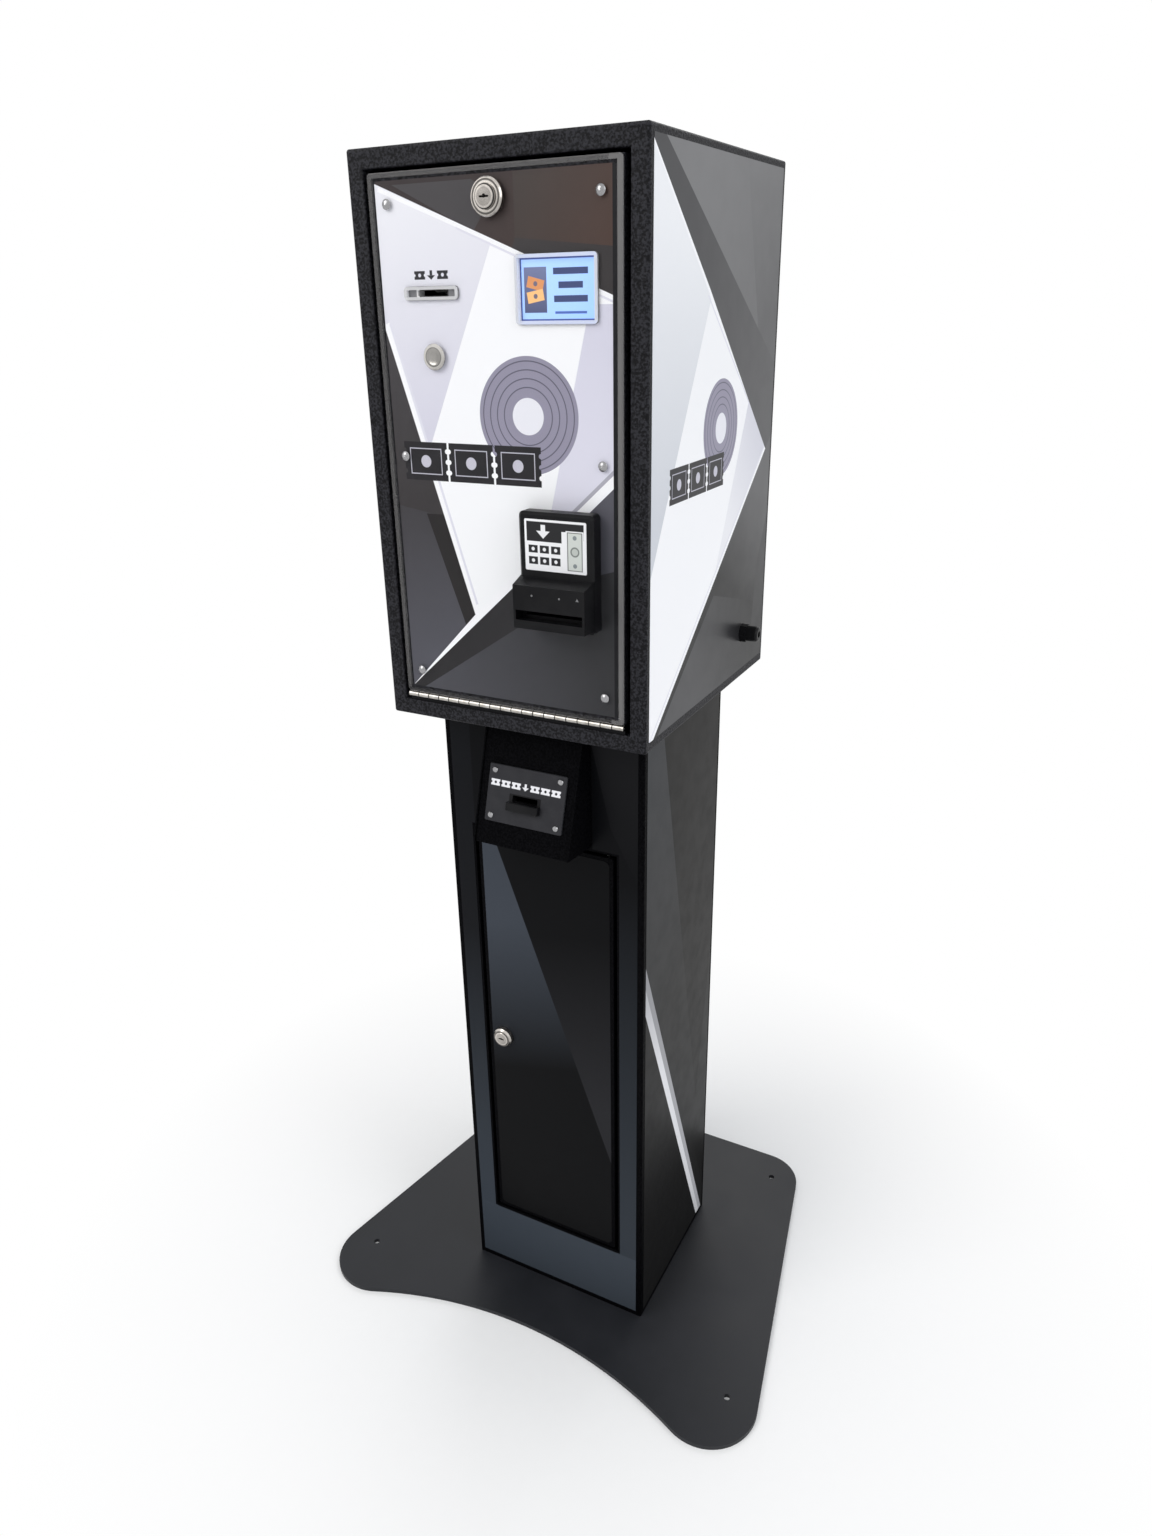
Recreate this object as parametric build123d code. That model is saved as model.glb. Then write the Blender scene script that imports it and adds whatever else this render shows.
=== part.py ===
from build123d import *
import os
from math import asin, atan2, cos, pi, radians, sin, sqrt, tan

# Raffle ticket dispenser: a cabinet with a drop-down front door, on a column with its own door.
# Millimetres, +Z up, +X to the right of someone facing it, +Y to its back.
# The origin is the middle of the base plate's underside.

# Base plate
PLATE_T = 6.35
PLATE_D = 540.0
PLATE_FRONT_W = 702.0
PLATE_REAR_W = 504.0
PLATE_FRONT_R = 67.0
PLATE_REAR_R = 58.0
PLATE_SCOOP = 57.0
ANCHOR_R = 4.5
ANCHOR_FRONT_X = 293.0
ANCHOR_FRONT_Y = 81.0
ANCHOR_REAR_X = 218.5
ANCHOR_REAR_Y = 48.0

# Sheet metal and fits
WALL = 2.0
BEND_R = 3.0
FILM_T = 0.3
SEAT = 0.3
RUN = 0.05
TOUCH = 0.01

# Column
COL_W = 274.0
COL_D = 243.0
COL_H = 912.5
COL_SETBACK = 60.0
COL_FLANGE_T = 5.0
COL_FLANGE_W = 34.0
COL_CABLE_R = 30.0
FILM_MARGIN = 8.0
FILM_SIDE_BOTTOM = 12.0
FILM_CORNER_R = 1.0

# Column door
SMALL_SIDE = 36.0
SMALL_SILL = 110.5
SMALL_HEAD = 4.5
SMALL_FILM_MARGIN = 5.0
SMALL_FILM_R = 8.0
SWING_CLEAR = 1.27
PIVOT_R = 3.0
PIVOT_IN = 9.0
PIVOT_DEEP = 9.0
PIVOT_EDGE = 2.0
PIVOT_HEAD_R = 5.0
PIVOT_HEAD_T = 2.0
PIVOT_END = 3.0
SMALL_LOCK_IN = 24.0

# Cabinet
BOX_W = 330.0
BOX_D = 375.0
BOX_H = 590.0
FRAME_W = 19.0
FRAME_RETURN = 12.0
FRAME_EDGE_R = 1.6

# Front door
DOOR_SIDE_GAP = 6.0
DOOR_TOP_GAP = 4.0
DOOR_RETURN = 12.0
ACRYLIC_T = 3.0
ACRYLIC_R = 4.0
ACRYLIC_BEVEL = 1.2
PRINT_INSET = 7.3
PRINT_R = 3.0
SCREW_EDGE_X = 22.0
SCREW_EDGE_Z = 28.0
SCREW_HEAD_R = 5.0
SCREW_HEAD_H = 2.4
SCREW_R = 2.0
SCREW_END = 5.0
SCREW_NUT_R = 4.0
SCREW_NUT_T = 3.0

# Piano hinge
HINGE_PIN_R = 1.25
HINGE_KNUCKLE_R = 3.0
HINGE_LEAF_T = 1.2
HINGE_KNUCKLES = 20
HINGE_KNUCKLE_GAP = 0.3
HINGE_DOOR_LEAF_H = 18.0
HINGE_UP = 8.0
HINGE_TO_DOOR = 1.0

# Rows and columns of what the front door carries
ROW_IN = 68.0
LOCK_DROP = 50.4
EXIT_DROP = 132.0
BUTTON_UNDER_EXIT = 59.5
DISPLAY_DROP = 131.0
DISPLAY_SHIFT = 2.0
MASK_DROP = 45.5
PANEL_ROOM = 0.1
COVER_ROOM = 0.2

# Ticket exit
EXIT_RIM_W = 64.0
EXIT_RIM_H = 12.5
EXIT_RIM_R = 4.0
EXIT_RIM_T = 3.0
EXIT_RIM_PROUD = 0.4
SLOT_ROOM = 1.5
SLOT_H = 5.0
MOUTH_BACK = 10.0
MOUTH_FLANGE = 5.0
MOUTH_FLANGE_T = 2.0
MOUTH_RECESS = 3.5
MOUTH_BOSS = 2.5
TEAR_T = 1.2
TEAR_H = 10.0
TEAR_TEETH = 12
TEAR_TOOTH = 1.5
TEAR_CLEAR = 0.4

# Display
DISPLAY_W = 82.0
DISPLAY_H = 55.0
DISPLAY_RIM = 3.2
DISPLAY_RIM_R = 4.0
DISPLAY_RIM_PROUD = 0.4
DISPLAY_MODULE_LIP = 9.0
DISPLAY_MODULE_T = 9.0

# Push button
BUTTON_BARREL_R = 10.8
BUTTON_LIP = 2.0
BUTTON_FLANGE_T = 2.4
BUTTON_BEVEL = 1.2
BUTTON_WALL = 1.8
BUTTON_LENGTH = 24.0
BUTTON_CAP_T = 6.0
BUTTON_CAP_RIM = 1.5
BUTTON_CAP_DISH = 1.0
BUTTON_TRAVEL = 2.5
BUTTON_NUT_WALL = 3.7
BUTTON_NUT_T = 4.0

# Locks: the head, the barrel, the turning plug and its cam; bevels are shares of a flange or step
LOCK_FLANGE_R = 17.3
LOCK_FLANGE_T = 4.6
LOCK_BEVEL_DEEP = 1 / 3
LOCK_BEVEL_WIDE = 1 / 4
LOCK_PLUG_BEVEL = 1 / 2
LOCK_PLUG_R = 11.2
LOCK_PLUG_PROUD = 3.0
LOCK_PLUG_SEAT = 1.6
LOCK_BARREL_R = 9.5
LOCK_SHAFT_R = 6.0
LOCK_NUT_WALL = 5.0
LOCK_NUT_T = 4.0
LOCK_CAM_T = 3.0
LOCK_CAM_W = 14.0
LOCK_CAM_BITE = 8.0
LOCK_CAM_BEHIND = 2.0
LOCK_SHANK = 7.0
KEYWAY_W = 8.0
KEYWAY_H = 1.8
KEYWAY_DEEP = 3.0
SMALL_LOCK_FLANGE_R = 14.0
SMALL_LOCK_FLANGE_T = 9.0
SMALL_LOCK_PLUG_R = 10.0
SMALL_LOCK_PLUG_PROUD = 0.8

# Bill acceptor
MASK_W = 86.0
MASK_H = 122.0
MASK_T = 17.0
MASK_R = 5.0
MASK_BEVEL = 3.0
SNOUT_OUT = 18.0
SNOUT_DROP = 66.0
SNOUT_DRAFT = 1.5
SNOUT_SLOPE = 6.0
SNOUT_FOOT = 4.6
SNOUT_LIP = 8.9
BILL_MOUTH_SIDE = 2.5
BILL_MOUTH_H = 10.5
BILL_MOUTH_DEEP = 14.0
BILL_W = 68.0
BILL_H = 5.0
MASK_NECK_SIDE = 6.0
MASK_NECK_END = 11.0
MASK_NECK_BACK = 3.0
VALIDATOR_D = 72.0
VALIDATOR_W = 88.0
VALIDATOR_H = 118.0
CASH_W = 84.0
CASH_D = 74.0
CASH_H = 150.0
CASH_WALL = 2.0
CASH_SETBACK = 12.0

# Ticket dispenser behind the exit
CHASSIS_SIDE = 10.0
CHASSIS_T = 1.5
CHASSIS_D = 78.0
CHASSIS_UP = 26.0
CHASSIS_EAR = 10.0
NIP_BACK = 30.0
NIP_GAP = 0.6
FEED_ROLLER_R = 10.0
PINCH_ROLLER_R = 7.0
ROLLER_IN = 1.0
SHAFT_R = 3.0
GEAR_MODULE = 1.0
ROLLER_TEETH = 36
MOTOR_TEETH = 12
GEAR_W = 6.0
GEAR_SIDE_GAP = 1.0
GEAR_BACKLASH = 0.12
GEAR_PRESSURE = 20.0
GEAR_TIP = 0.85
GEAR_ROOT = 1.2
GEAR_TOOTH_SHARE = 0.43
GEAR_SINK = 0.9
GEAR_FLANK_STEPS = 4
MOTOR_R = 12.5
MOTOR_END_GAP = 4.7
MOTOR_UNDER = 1.2
MOTOR_SHAFT_R = 2.0
MOTOR_ANGLE = -30.0

# Electronics
BOARD_W = 110.0
BOARD_H = 160.0
BOARD_T = 1.6
BOARD_IN = 19.0
BOARD_DROP = 109.0
STANDOFF_R = 3.0
STANDOFF_L = 12.0
STANDOFF_IN = 5.0
CHIP_W = 24.0
CHIP_T = 3.0
CONNECTOR_IN = 8.0
CONNECTOR_W = 8.0
CONNECTOR_L = 70.0
CONNECTOR_H = 7.0
SUPPLY_W = 98.0
SUPPLY_H = 160.0
SUPPLY_T = 42.0
SUPPLY_SIDE = 39.0
SUPPLY_UP = 120.0
SUPPLY_BEVEL = 1.0

# Ticket store on the cabinet floor
TICKET_W = 32.0
TICKET_FOLD_L = 203.0
TICKET_STACK_H = 150.0
TRAY_WALL = 1.5
TRAY_H = 90.0
TRAY_ROOM = 1.5
TRAY_BACK = 25.0

# Cable gland on the right side
GLAND_IN = 83.5
GLAND_UP = 59.5
GLAND_HOLE_R = 8.0
GLAND_HEX_R = 11.5
GLAND_HEX_T = 8.0
GLAND_CAP_R = 9.6
GLAND_CAP_L = 15.0
GLAND_CAP_ROUND = 3.2
GLAND_BORE_R = 4.0
GLAND_TAIL = 12.0
GLAND_NUT_R = 12.0
GLAND_NUT_T = 5.0

# Hood and ticket inlet
HOOD_W = 131.0
HOOD_T = 2.0
HOOD_TOP_OUT = 10.0
HOOD_BOTTOM_OUT = 57.0
HOOD_FRONT_H = 154.0
HOOD_BACK_H = 160.5
HOOD_RIM = 1.5
INLET_W = 105.0
INLET_H = 70.0
INLET_T = 3.0
INLET_UP = 64.5
INLET_R = 2.0
INLET_BEVEL = 0.6
INLET_SCREW_X = 44.5
INLET_SCREW_Z = 27.7
INLET_HEAD_R = 3.6
INLET_HEAD_H = 1.6
INLET_HEAD_BEVEL = 0.8
SNOUT2_W = 43.0
SNOUT2_H = 20.0
SNOUT2_DROP = 7.2
SNOUT2_R = 1.0
SNOUT2_OUT = 8.0
SNOUT2_BACK = 7.0
SNOUT2_WALL = 1.5
SNOUT2_BEVEL = 1.0
SNOUT2_SLOT_W = 34.0
SNOUT2_SLOT_H = 8.0
SNOUT2_UP = INLET_UP - SNOUT2_DROP
WINDOW_W = 70.0
WINDOW_H = 65.0
WINDOW_UP = 7.0
CHUTE_T = 1.5
CHUTE_SLOPE = 34.0
CHUTE_SIDE = 22.0
CHUTE_IN_HOOD = 26.0
CHUTE_OVER_BIN = 15.0

# Collection bin
BIN_ROOM = 5.0
BIN_H = 470.0
BIN_WALL = 2.5
BIN_GRIP_W = 90.0
BIN_GRIP_H = 28.0
BIN_GRIP_DROP = 30.0
BIN_GRIP_R = 13.9

# Bolts between the cabinet and the column, and screws under the column
BOLT_R = 4.0
BOLT_HEAD_R = 7.5
BOLT_HEAD_T = 5.0
BOLT_END = 4.0
BOLT_IN = 24.0
FOOT_SCREW_HEAD_R = 8.0
FOOT_SCREW_RECESS = 0.4

# Places worked out from the sizes above
FACE_Y = -BOX_D / 2
COL_FACE = FACE_Y + COL_SETBACK
COL_BACK = COL_FACE + COL_D
COL_FLOOR = PLATE_T
COL_TOP = COL_FLOOR + COL_H
COL_Y = (COL_FACE + COL_BACK) / 2
BOX_FLOOR = COL_TOP + WALL
BOX_TOP = COL_TOP + BOX_H
OPEN_LOW = COL_TOP + FRAME_W
OPEN_HIGH = BOX_TOP - FRAME_W
OPEN_W = BOX_W - 2 * FRAME_W
DOOR_W = OPEN_W - 2 * DOOR_SIDE_GAP
HINGE_Z = OPEN_LOW + HINGE_UP
DOOR_LOW = HINGE_Z + HINGE_KNUCKLE_R + HINGE_TO_DOOR
DOOR_HIGH = OPEN_HIGH - DOOR_TOP_GAP
DOOR_Z = (DOOR_LOW + DOOR_HIGH) / 2
DOOR_H = DOOR_HIGH - DOOR_LOW
DOOR_BACK = FACE_Y + WALL
ACRYLIC_Y = FACE_Y - ACRYLIC_T
LOCK_Z = BOX_TOP - LOCK_DROP
RIGHT_X = DOOR_W / 2 - ROW_IN
LEFT_X = -RIGHT_X
EXIT_Z = BOX_TOP - EXIT_DROP
BUTTON_Z = EXIT_Z - BUTTON_UNDER_EXIT
DISPLAY_X = RIGHT_X - DISPLAY_SHIFT
DISPLAY_Z = BOX_TOP - DISPLAY_DROP
MASK_HIGH = DOOR_Z - MASK_DROP
MASK_Z = MASK_HIGH - MASK_H / 2
HINGE_Y = DOOR_BACK + HINGE_LEAF_T - HINGE_KNUCKLE_R
HOOD_LOW = COL_TOP - HOOD_BACK_H
SMALL_OPEN_W = COL_W - 2 * SMALL_SIDE
SMALL_LOW = COL_FLOOR + SMALL_SILL
SMALL_HIGH = HOOD_LOW - SMALL_HEAD
SMALL_Z = (SMALL_LOW + SMALL_HIGH) / 2
SMALL_GAP = sqrt(PIVOT_IN**2 + PIVOT_DEEP**2) - PIVOT_IN + SWING_CLEAR
SMALL_RETURN = PIVOT_DEEP + PIVOT_R + PIVOT_EDGE
SMALL_W = SMALL_OPEN_W - 2 * SMALL_GAP
SMALL_H = SMALL_HIGH - SMALL_LOW - 2 * SMALL_GAP
PIVOT_X = SMALL_W / 2 - PIVOT_IN
PIVOT_Y = COL_FACE + PIVOT_DEEP
SMALL_LOCK_X = -SMALL_W / 2 + SMALL_LOCK_IN
BOLT_X = COL_W / 2 - BOLT_IN
WINDOW_LOW = HOOD_LOW + WINDOW_UP
BIN_W = COL_W - 2 * (COL_FLANGE_W + BIN_ROOM)
BIN_D = COL_D - 2 * (COL_FLANGE_W + BIN_ROOM)
GLAND_Y = -FACE_Y - GLAND_IN
GLAND_Z = COL_TOP + GLAND_UP
SLOT_W = TICKET_W + 2 * SLOT_ROOM
ROLLER_L = TICKET_W - 2 * ROLLER_IN
CHASSIS_W = TICKET_W + 2 * CHASSIS_SIDE
NECK_W = MASK_W - 2 * MASK_NECK_SIDE
NECK_H = MASK_H - 2 * MASK_NECK_END
SNOUT_HIGH = MASK_HIGH - SNOUT_DROP
SNOUT_LOW = MASK_HIGH - MASK_H + SNOUT_FOOT
BILL_Z = SNOUT_LOW + SNOUT_LIP + BILL_MOUTH_H / 2
BUTTON_CAP_R = BUTTON_BARREL_R - BUTTON_WALL
BOARD_X = -DOOR_W / 2 + BOARD_IN + BOARD_W / 2
SUPPLY_X = BOX_W / 2 - WALL - SUPPLY_SIDE - SUPPLY_W / 2
TRAY_W = TICKET_W + 2 * (TRAY_ROOM + TRAY_WALL)
TRAY_D = TICKET_FOLD_L + 2 * (TRAY_ROOM + TRAY_WALL)
TRAY_Y = -FACE_Y - WALL - TRAY_BACK - TRAY_D / 2


def block(x0, x1, y0, y1, z0, z1):
    """A box between two corners."""
    middle = Pos((x0 + x1) / 2, (y0 + y1) / 2, (z0 + z1) / 2)
    return middle * Box(x1 - x0, y1 - y0, z1 - z0)


def rod_x(y, z, r, x0, x1):
    """A round bar along X."""
    return Pos((x0 + x1) / 2, y, z) * Rot(0, 90, 0) * Cylinder(r, x1 - x0)


def rod_y(x, z, r, y0, y1):
    """A round bar along Y."""
    return Pos(x, (y0 + y1) / 2, z) * Rot(90, 0, 0) * Cylinder(r, y1 - y0)


def rod_z(x, y, r, z0, z1):
    """A round bar along Z."""
    return Pos(x, y, (z0 + z1) / 2) * Cylinder(r, z1 - z0)


def slab(x, z, w, h, r, y0, y1):
    """A plate with rounded corners that faces the front."""
    plane = Plane((x, y1, z), x_dir=(1, 0, 0), z_dir=(0, -1, 0))
    return extrude(plane * RectangleRounded(w, h, r), y1 - y0)


def side_slab(y, z, d, h, r, x0, x1):
    """A plate with rounded corners that faces the right side."""
    plane = Plane((x0, y, z), x_dir=(0, 1, 0), z_dir=(1, 0, 0))
    return extrude(plane * RectangleRounded(d, h, r), x1 - x0)


def hexagon_y(x, z, across, y0, y1):
    """A six-sided bar along Y; across is its corner radius."""
    plane = Plane((x, y1, z), x_dir=(1, 0, 0), z_dir=(0, -1, 0))
    return extrude(plane * RegularPolygon(across, 6), y1 - y0)


def hexagon_x(y, z, across, x0, x1):
    """A six-sided bar along X."""
    plane = Plane((x0, y, z), x_dir=(0, 1, 0), z_dir=(1, 0, 0))
    return extrude(plane * RegularPolygon(across, 6), x1 - x0)


def save(name, *pieces):
    """Write one node: a single solid, or a group of separate solids."""
    solids = [solid for piece in pieces for solid in piece.solids()]
    shape = solids[0] if len(solids) == 1 else Compound(children=solids)
    export_step(shape, f"parts/{name}.step")


# Base plate
def base_outline():
    """The plate's outline: a trapezium with round corners and a hollow front edge."""
    lean = (PLATE_FRONT_W - PLATE_REAR_W) / 2 / PLATE_D
    out = Vector(1, lean).normalized()
    side = (PLATE_FRONT_W + PLATE_REAR_W) / 4 * out.X
    front_y = PLATE_FRONT_R - PLATE_D / 2
    rear_y = PLATE_D / 2 - PLATE_REAR_R
    front = Vector((side - PLATE_FRONT_R - out.Y * front_y) / out.X, front_y)
    rear = Vector((side - PLATE_REAR_R - out.Y * rear_y) / out.X, rear_y)
    step = PLATE_FRONT_R - PLATE_SCOOP
    scoop_r = (front.X**2 + step**2 - PLATE_FRONT_R**2) / (2 * PLATE_SCOOP)
    scoop = Vector(0, PLATE_SCOOP - PLATE_D / 2 - scoop_r)
    inward = (scoop - front).normalized()
    back = Vector(0, 1)
    scoop_middle = scoop + (Vector(0, 1) - inward).normalized() * scoop_r
    half = [
        ThreePointArc(scoop + Vector(0, scoop_r), scoop_middle, front + inward * PLATE_FRONT_R),
        ThreePointArc(front + inward * PLATE_FRONT_R, front + (inward + out).normalized() * PLATE_FRONT_R,
                      front + out * PLATE_FRONT_R),
        Line(front + out * PLATE_FRONT_R, rear + out * PLATE_REAR_R),
        ThreePointArc(rear + out * PLATE_REAR_R, rear + (out + back).normalized() * PLATE_REAR_R,
                      rear + back * PLATE_REAR_R),
        Line(rear + back * PLATE_REAR_R, Vector(0, PLATE_D / 2)),
    ]
    return make_face(half + [mirror(edge, about=Plane.YZ) for edge in half])


def foot_places():
    """The four places where the column's flanges are bolted."""
    rows = (COL_FACE + BOLT_IN, COL_BACK - BOLT_IN)
    return [(x, y) for x in (-BOLT_X, BOLT_X) for y in rows]


def anchor_places():
    """The four holes that hold the plate to the floor."""
    front = ANCHOR_FRONT_Y - PLATE_D / 2
    rear = PLATE_D / 2 - ANCHOR_REAR_Y
    return [(-ANCHOR_FRONT_X, front), (ANCHOR_FRONT_X, front), (-ANCHOR_REAR_X, rear), (ANCHOR_REAR_X, rear)]


def foot_cone(grow):
    """The sunk head of a screw under the plate, grown by a clearance."""
    deep = FOOT_SCREW_HEAD_R - BOLT_R
    top = FOOT_SCREW_RECESS + deep
    return Pos(0, 0, top / 2 + FOOT_SCREW_RECESS / 2) * Cone(FOOT_SCREW_HEAD_R + grow, BOLT_R + grow, deep)


def base_plate():
    plate = extrude(base_outline(), PLATE_T)
    for x, y in anchor_places():
        plate -= rod_z(x, y, ANCHOR_R, 0, PLATE_T)
    for x, y in foot_places():
        plate -= rod_z(x, y, BOLT_R + SEAT, 0, PLATE_T)
        plate -= rod_z(x, y, FOOT_SCREW_HEAD_R + SEAT, 0, FOOT_SCREW_RECESS)
        plate -= Pos(x, y, 0) * foot_cone(SEAT)
    return plate


def base_screws():
    screws = []
    for x, y in foot_places():
        shank = rod_z(x, y, BOLT_R, FOOT_SCREW_RECESS, COL_FLOOR + COL_FLANGE_T)
        screws.append(shank + Pos(x, y, 0) * foot_cone(0))
    return screws


# Column
def column():
    shell = block(-COL_W / 2, COL_W / 2, COL_FACE, COL_BACK, COL_FLOOR, COL_TOP)
    shell = fillet(shell.edges().filter_by(Axis.Z), BEND_R)
    inner = block(-COL_W / 2 + WALL, COL_W / 2 - WALL, COL_FACE + WALL, COL_BACK - WALL,
                  COL_FLOOR + COL_FLANGE_T, COL_TOP - COL_FLANGE_T)
    shell -= inner
    reach = COL_FLANGE_W
    shell -= block(-COL_W / 2 + reach, COL_W / 2 - reach, COL_FACE + reach, COL_BACK - reach,
                   COL_FLOOR, COL_FLOOR + COL_FLANGE_T)
    shell -= rod_z(0, COL_Y, COL_CABLE_R, COL_TOP - COL_FLANGE_T, COL_TOP)
    lip = SMALL_RETURN
    wide = SMALL_OPEN_W / 2
    shell += block(-wide - WALL, wide + WALL, COL_FACE, COL_FACE + lip, SMALL_LOW - WALL, SMALL_HIGH + WALL)
    shell -= block(-wide, wide, COL_FACE, COL_FACE + lip, SMALL_LOW, SMALL_HIGH)
    x = WINDOW_W / 2
    shell -= block(-x, x, COL_FACE, COL_FACE + WALL, WINDOW_LOW, WINDOW_LOW + WINDOW_H)
    for x, y in foot_places():
        shell -= rod_z(x, y, BOLT_R, COL_FLOOR, COL_FLOOR + COL_FLANGE_T)
        shell -= rod_z(x, y, BOLT_R + SEAT, COL_TOP - COL_FLANGE_T, COL_TOP)
    for z in (SMALL_LOW - WALL, SMALL_HIGH):
        shell -= rod_z(PIVOT_X, PIVOT_Y, PIVOT_R, z, z + WALL)
    return shell


def column_front_film():
    wide = COL_W - 2 * FILM_MARGIN
    high = COL_H - 2 * FILM_MARGIN
    film = slab(0, COL_FLOOR + COL_H / 2, wide, high, FILM_CORNER_R, COL_FACE - FILM_T, COL_FACE)
    cut = SMALL_OPEN_W / 2 + BEND_R
    film -= block(-cut, cut, COL_FACE - FILM_T, COL_FACE, SMALL_LOW - BEND_R, SMALL_HIGH + BEND_R)
    hood = HOOD_W / 2 + BEND_R
    film -= block(-hood, hood, COL_FACE - FILM_T, COL_FACE, SMALL_HIGH, COL_TOP)
    return film


def column_side_films():
    long = COL_D - 2 * FILM_MARGIN
    high = COL_H - 2 * FILM_MARGIN
    z = COL_FLOOR + COL_H / 2
    left = side_slab(COL_Y, z, long, high, FILM_CORNER_R, -COL_W / 2 - FILM_T, -COL_W / 2)
    right = side_slab(COL_Y, z, long, high, FILM_CORNER_R, COL_W / 2, COL_W / 2 + FILM_T)
    return left, right


# Column door, a shallow pan on two pivot pins
def small_door():
    x = SMALL_W / 2
    low = SMALL_LOW + SMALL_GAP
    high = SMALL_HIGH - SMALL_GAP
    door = block(-x, x, COL_FACE, COL_FACE + SMALL_RETURN, low, high)
    door = fillet(door.edges().filter_by(Axis.Y), BEND_R)
    door -= block(-x + WALL, x - WALL, COL_FACE + WALL, COL_FACE + SMALL_RETURN, low + WALL, high - WALL)
    for z in (low, high - WALL):
        door -= rod_z(PIVOT_X, PIVOT_Y, PIVOT_R + RUN, z, z + WALL)
    door -= rod_y(SMALL_LOCK_X, SMALL_Z, LOCK_BARREL_R, COL_FACE, COL_FACE + WALL)
    return door


def small_door_film():
    wide = SMALL_W - 2 * SMALL_FILM_MARGIN
    high = SMALL_H - 2 * SMALL_FILM_MARGIN
    film = slab(0, SMALL_Z, wide, high, SMALL_FILM_R, COL_FACE - FILM_T, COL_FACE)
    film -= rod_y(SMALL_LOCK_X, SMALL_Z, SMALL_LOCK_FLANGE_R + SEAT, COL_FACE - FILM_T, COL_FACE)
    return film


def pivot_pins():
    reach = SMALL_GAP + WALL + PIVOT_END
    top = rod_z(PIVOT_X, PIVOT_Y, PIVOT_R, SMALL_HIGH - reach, SMALL_HIGH + WALL)
    top += rod_z(PIVOT_X, PIVOT_Y, PIVOT_HEAD_R, SMALL_HIGH + WALL, SMALL_HIGH + WALL + PIVOT_HEAD_T)
    foot = rod_z(PIVOT_X, PIVOT_Y, PIVOT_R, SMALL_LOW - WALL, SMALL_LOW + reach)
    foot += rod_z(PIVOT_X, PIVOT_Y, PIVOT_HEAD_R, SMALL_LOW - WALL - PIVOT_HEAD_T, SMALL_LOW - WALL)
    return top, foot


# Locks
def lock_body(x, z, front, cam_y, flange_r, flange_t, plug_r):
    """The still part of a lock: a flange on the door's face and a barrel through it."""
    face = front - flange_t
    head = rod_y(x, z, flange_r, face, front)
    head = chamfer(head.edges().sort_by(Axis.Y)[0], flange_t * LOCK_BEVEL_DEEP, flange_t * LOCK_BEVEL_WIDE)
    body = head + rod_y(x, z, LOCK_BARREL_R, front, cam_y - SEAT)
    body -= rod_y(x, z, plug_r + SEAT, face, face + LOCK_PLUG_SEAT + SEAT)
    return body - rod_y(x, z, LOCK_SHAFT_R + RUN, face, cam_y)


def lock_nut(x, z, behind):
    nut = hexagon_y(x, z, LOCK_BARREL_R + LOCK_NUT_WALL, behind, behind + LOCK_NUT_T)
    return nut - rod_y(x, z, LOCK_BARREL_R, behind, behind + LOCK_NUT_T)


def lock_plug(x, z, front, cam_y, flange_t, plug_r, proud):
    """The turning part: a face with a keyway, a shaft and a square shank for the cam."""
    face_y = front - flange_t - proud
    seat_y = front - flange_t + LOCK_PLUG_SEAT
    face = rod_y(x, z, plug_r, face_y, seat_y)
    face = chamfer(face.edges().sort_by(Axis.Y)[0], proud * LOCK_PLUG_BEVEL)
    plug = face + rod_y(x, z, LOCK_SHAFT_R, seat_y, cam_y)
    half = LOCK_SHANK / 2
    plug += block(x - half, x + half, cam_y, cam_y + LOCK_CAM_T, z - half, z + half)
    across = KEYWAY_W / 2
    up = KEYWAY_H / 2
    return plug - block(x - across, x + across, face_y, face_y + KEYWAY_DEEP, z - up, z + up)


def lock_cam(x, z, cam_y, reach, turn):
    """A flat arm on the shank; turn is its rest direction, from +X towards -Z."""
    half = LOCK_CAM_W / 2
    shank = LOCK_SHANK / 2
    arm = block(0, reach - half, 0, LOCK_CAM_T, -half, half)
    arm += rod_y(0, 0, half, 0, LOCK_CAM_T) + rod_y(reach - half, 0, half, 0, LOCK_CAM_T)
    arm -= block(-shank, shank, 0, LOCK_CAM_T, -shank, shank)
    return Pos(x, cam_y, z) * Rot(0, turn, 0) * arm


def save_lock(name, x, z, front, behind, cam_y, head, reach, turn):
    """A lock's four pieces; head is its flange radius and thickness, plug radius and step."""
    flange_r, flange_t, plug_r, proud = head
    save(f"{name}_body", lock_body(x, z, front, cam_y, flange_r, flange_t, plug_r))
    save(f"{name}_nut", lock_nut(x, z, behind))
    save(f"{name}_plug", lock_plug(x, z, front, cam_y, flange_t, plug_r, proud))
    save(f"{name}_cam", lock_cam(x, z, cam_y, reach, turn))


FRONT_CAM_Y = FACE_Y + max(FRAME_RETURN, DOOR_RETURN) + LOCK_CAM_BEHIND
FRONT_CAM_REACH = LOCK_DROP - FRAME_W + LOCK_CAM_BITE
SMALL_CAM_Y = COL_FACE + SMALL_RETURN + LOCK_CAM_BEHIND
SMALL_CAM_REACH = SMALL_OPEN_W / 2 + SMALL_LOCK_X + LOCK_CAM_BITE


# Cabinet: one sheet bent round as top, back and floor, two side panels, and a face frame
FRONT_SEAM_Y = FACE_Y + BEND_R
SIDE_SEAM_X = BOX_W / 2 - BEND_R


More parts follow.
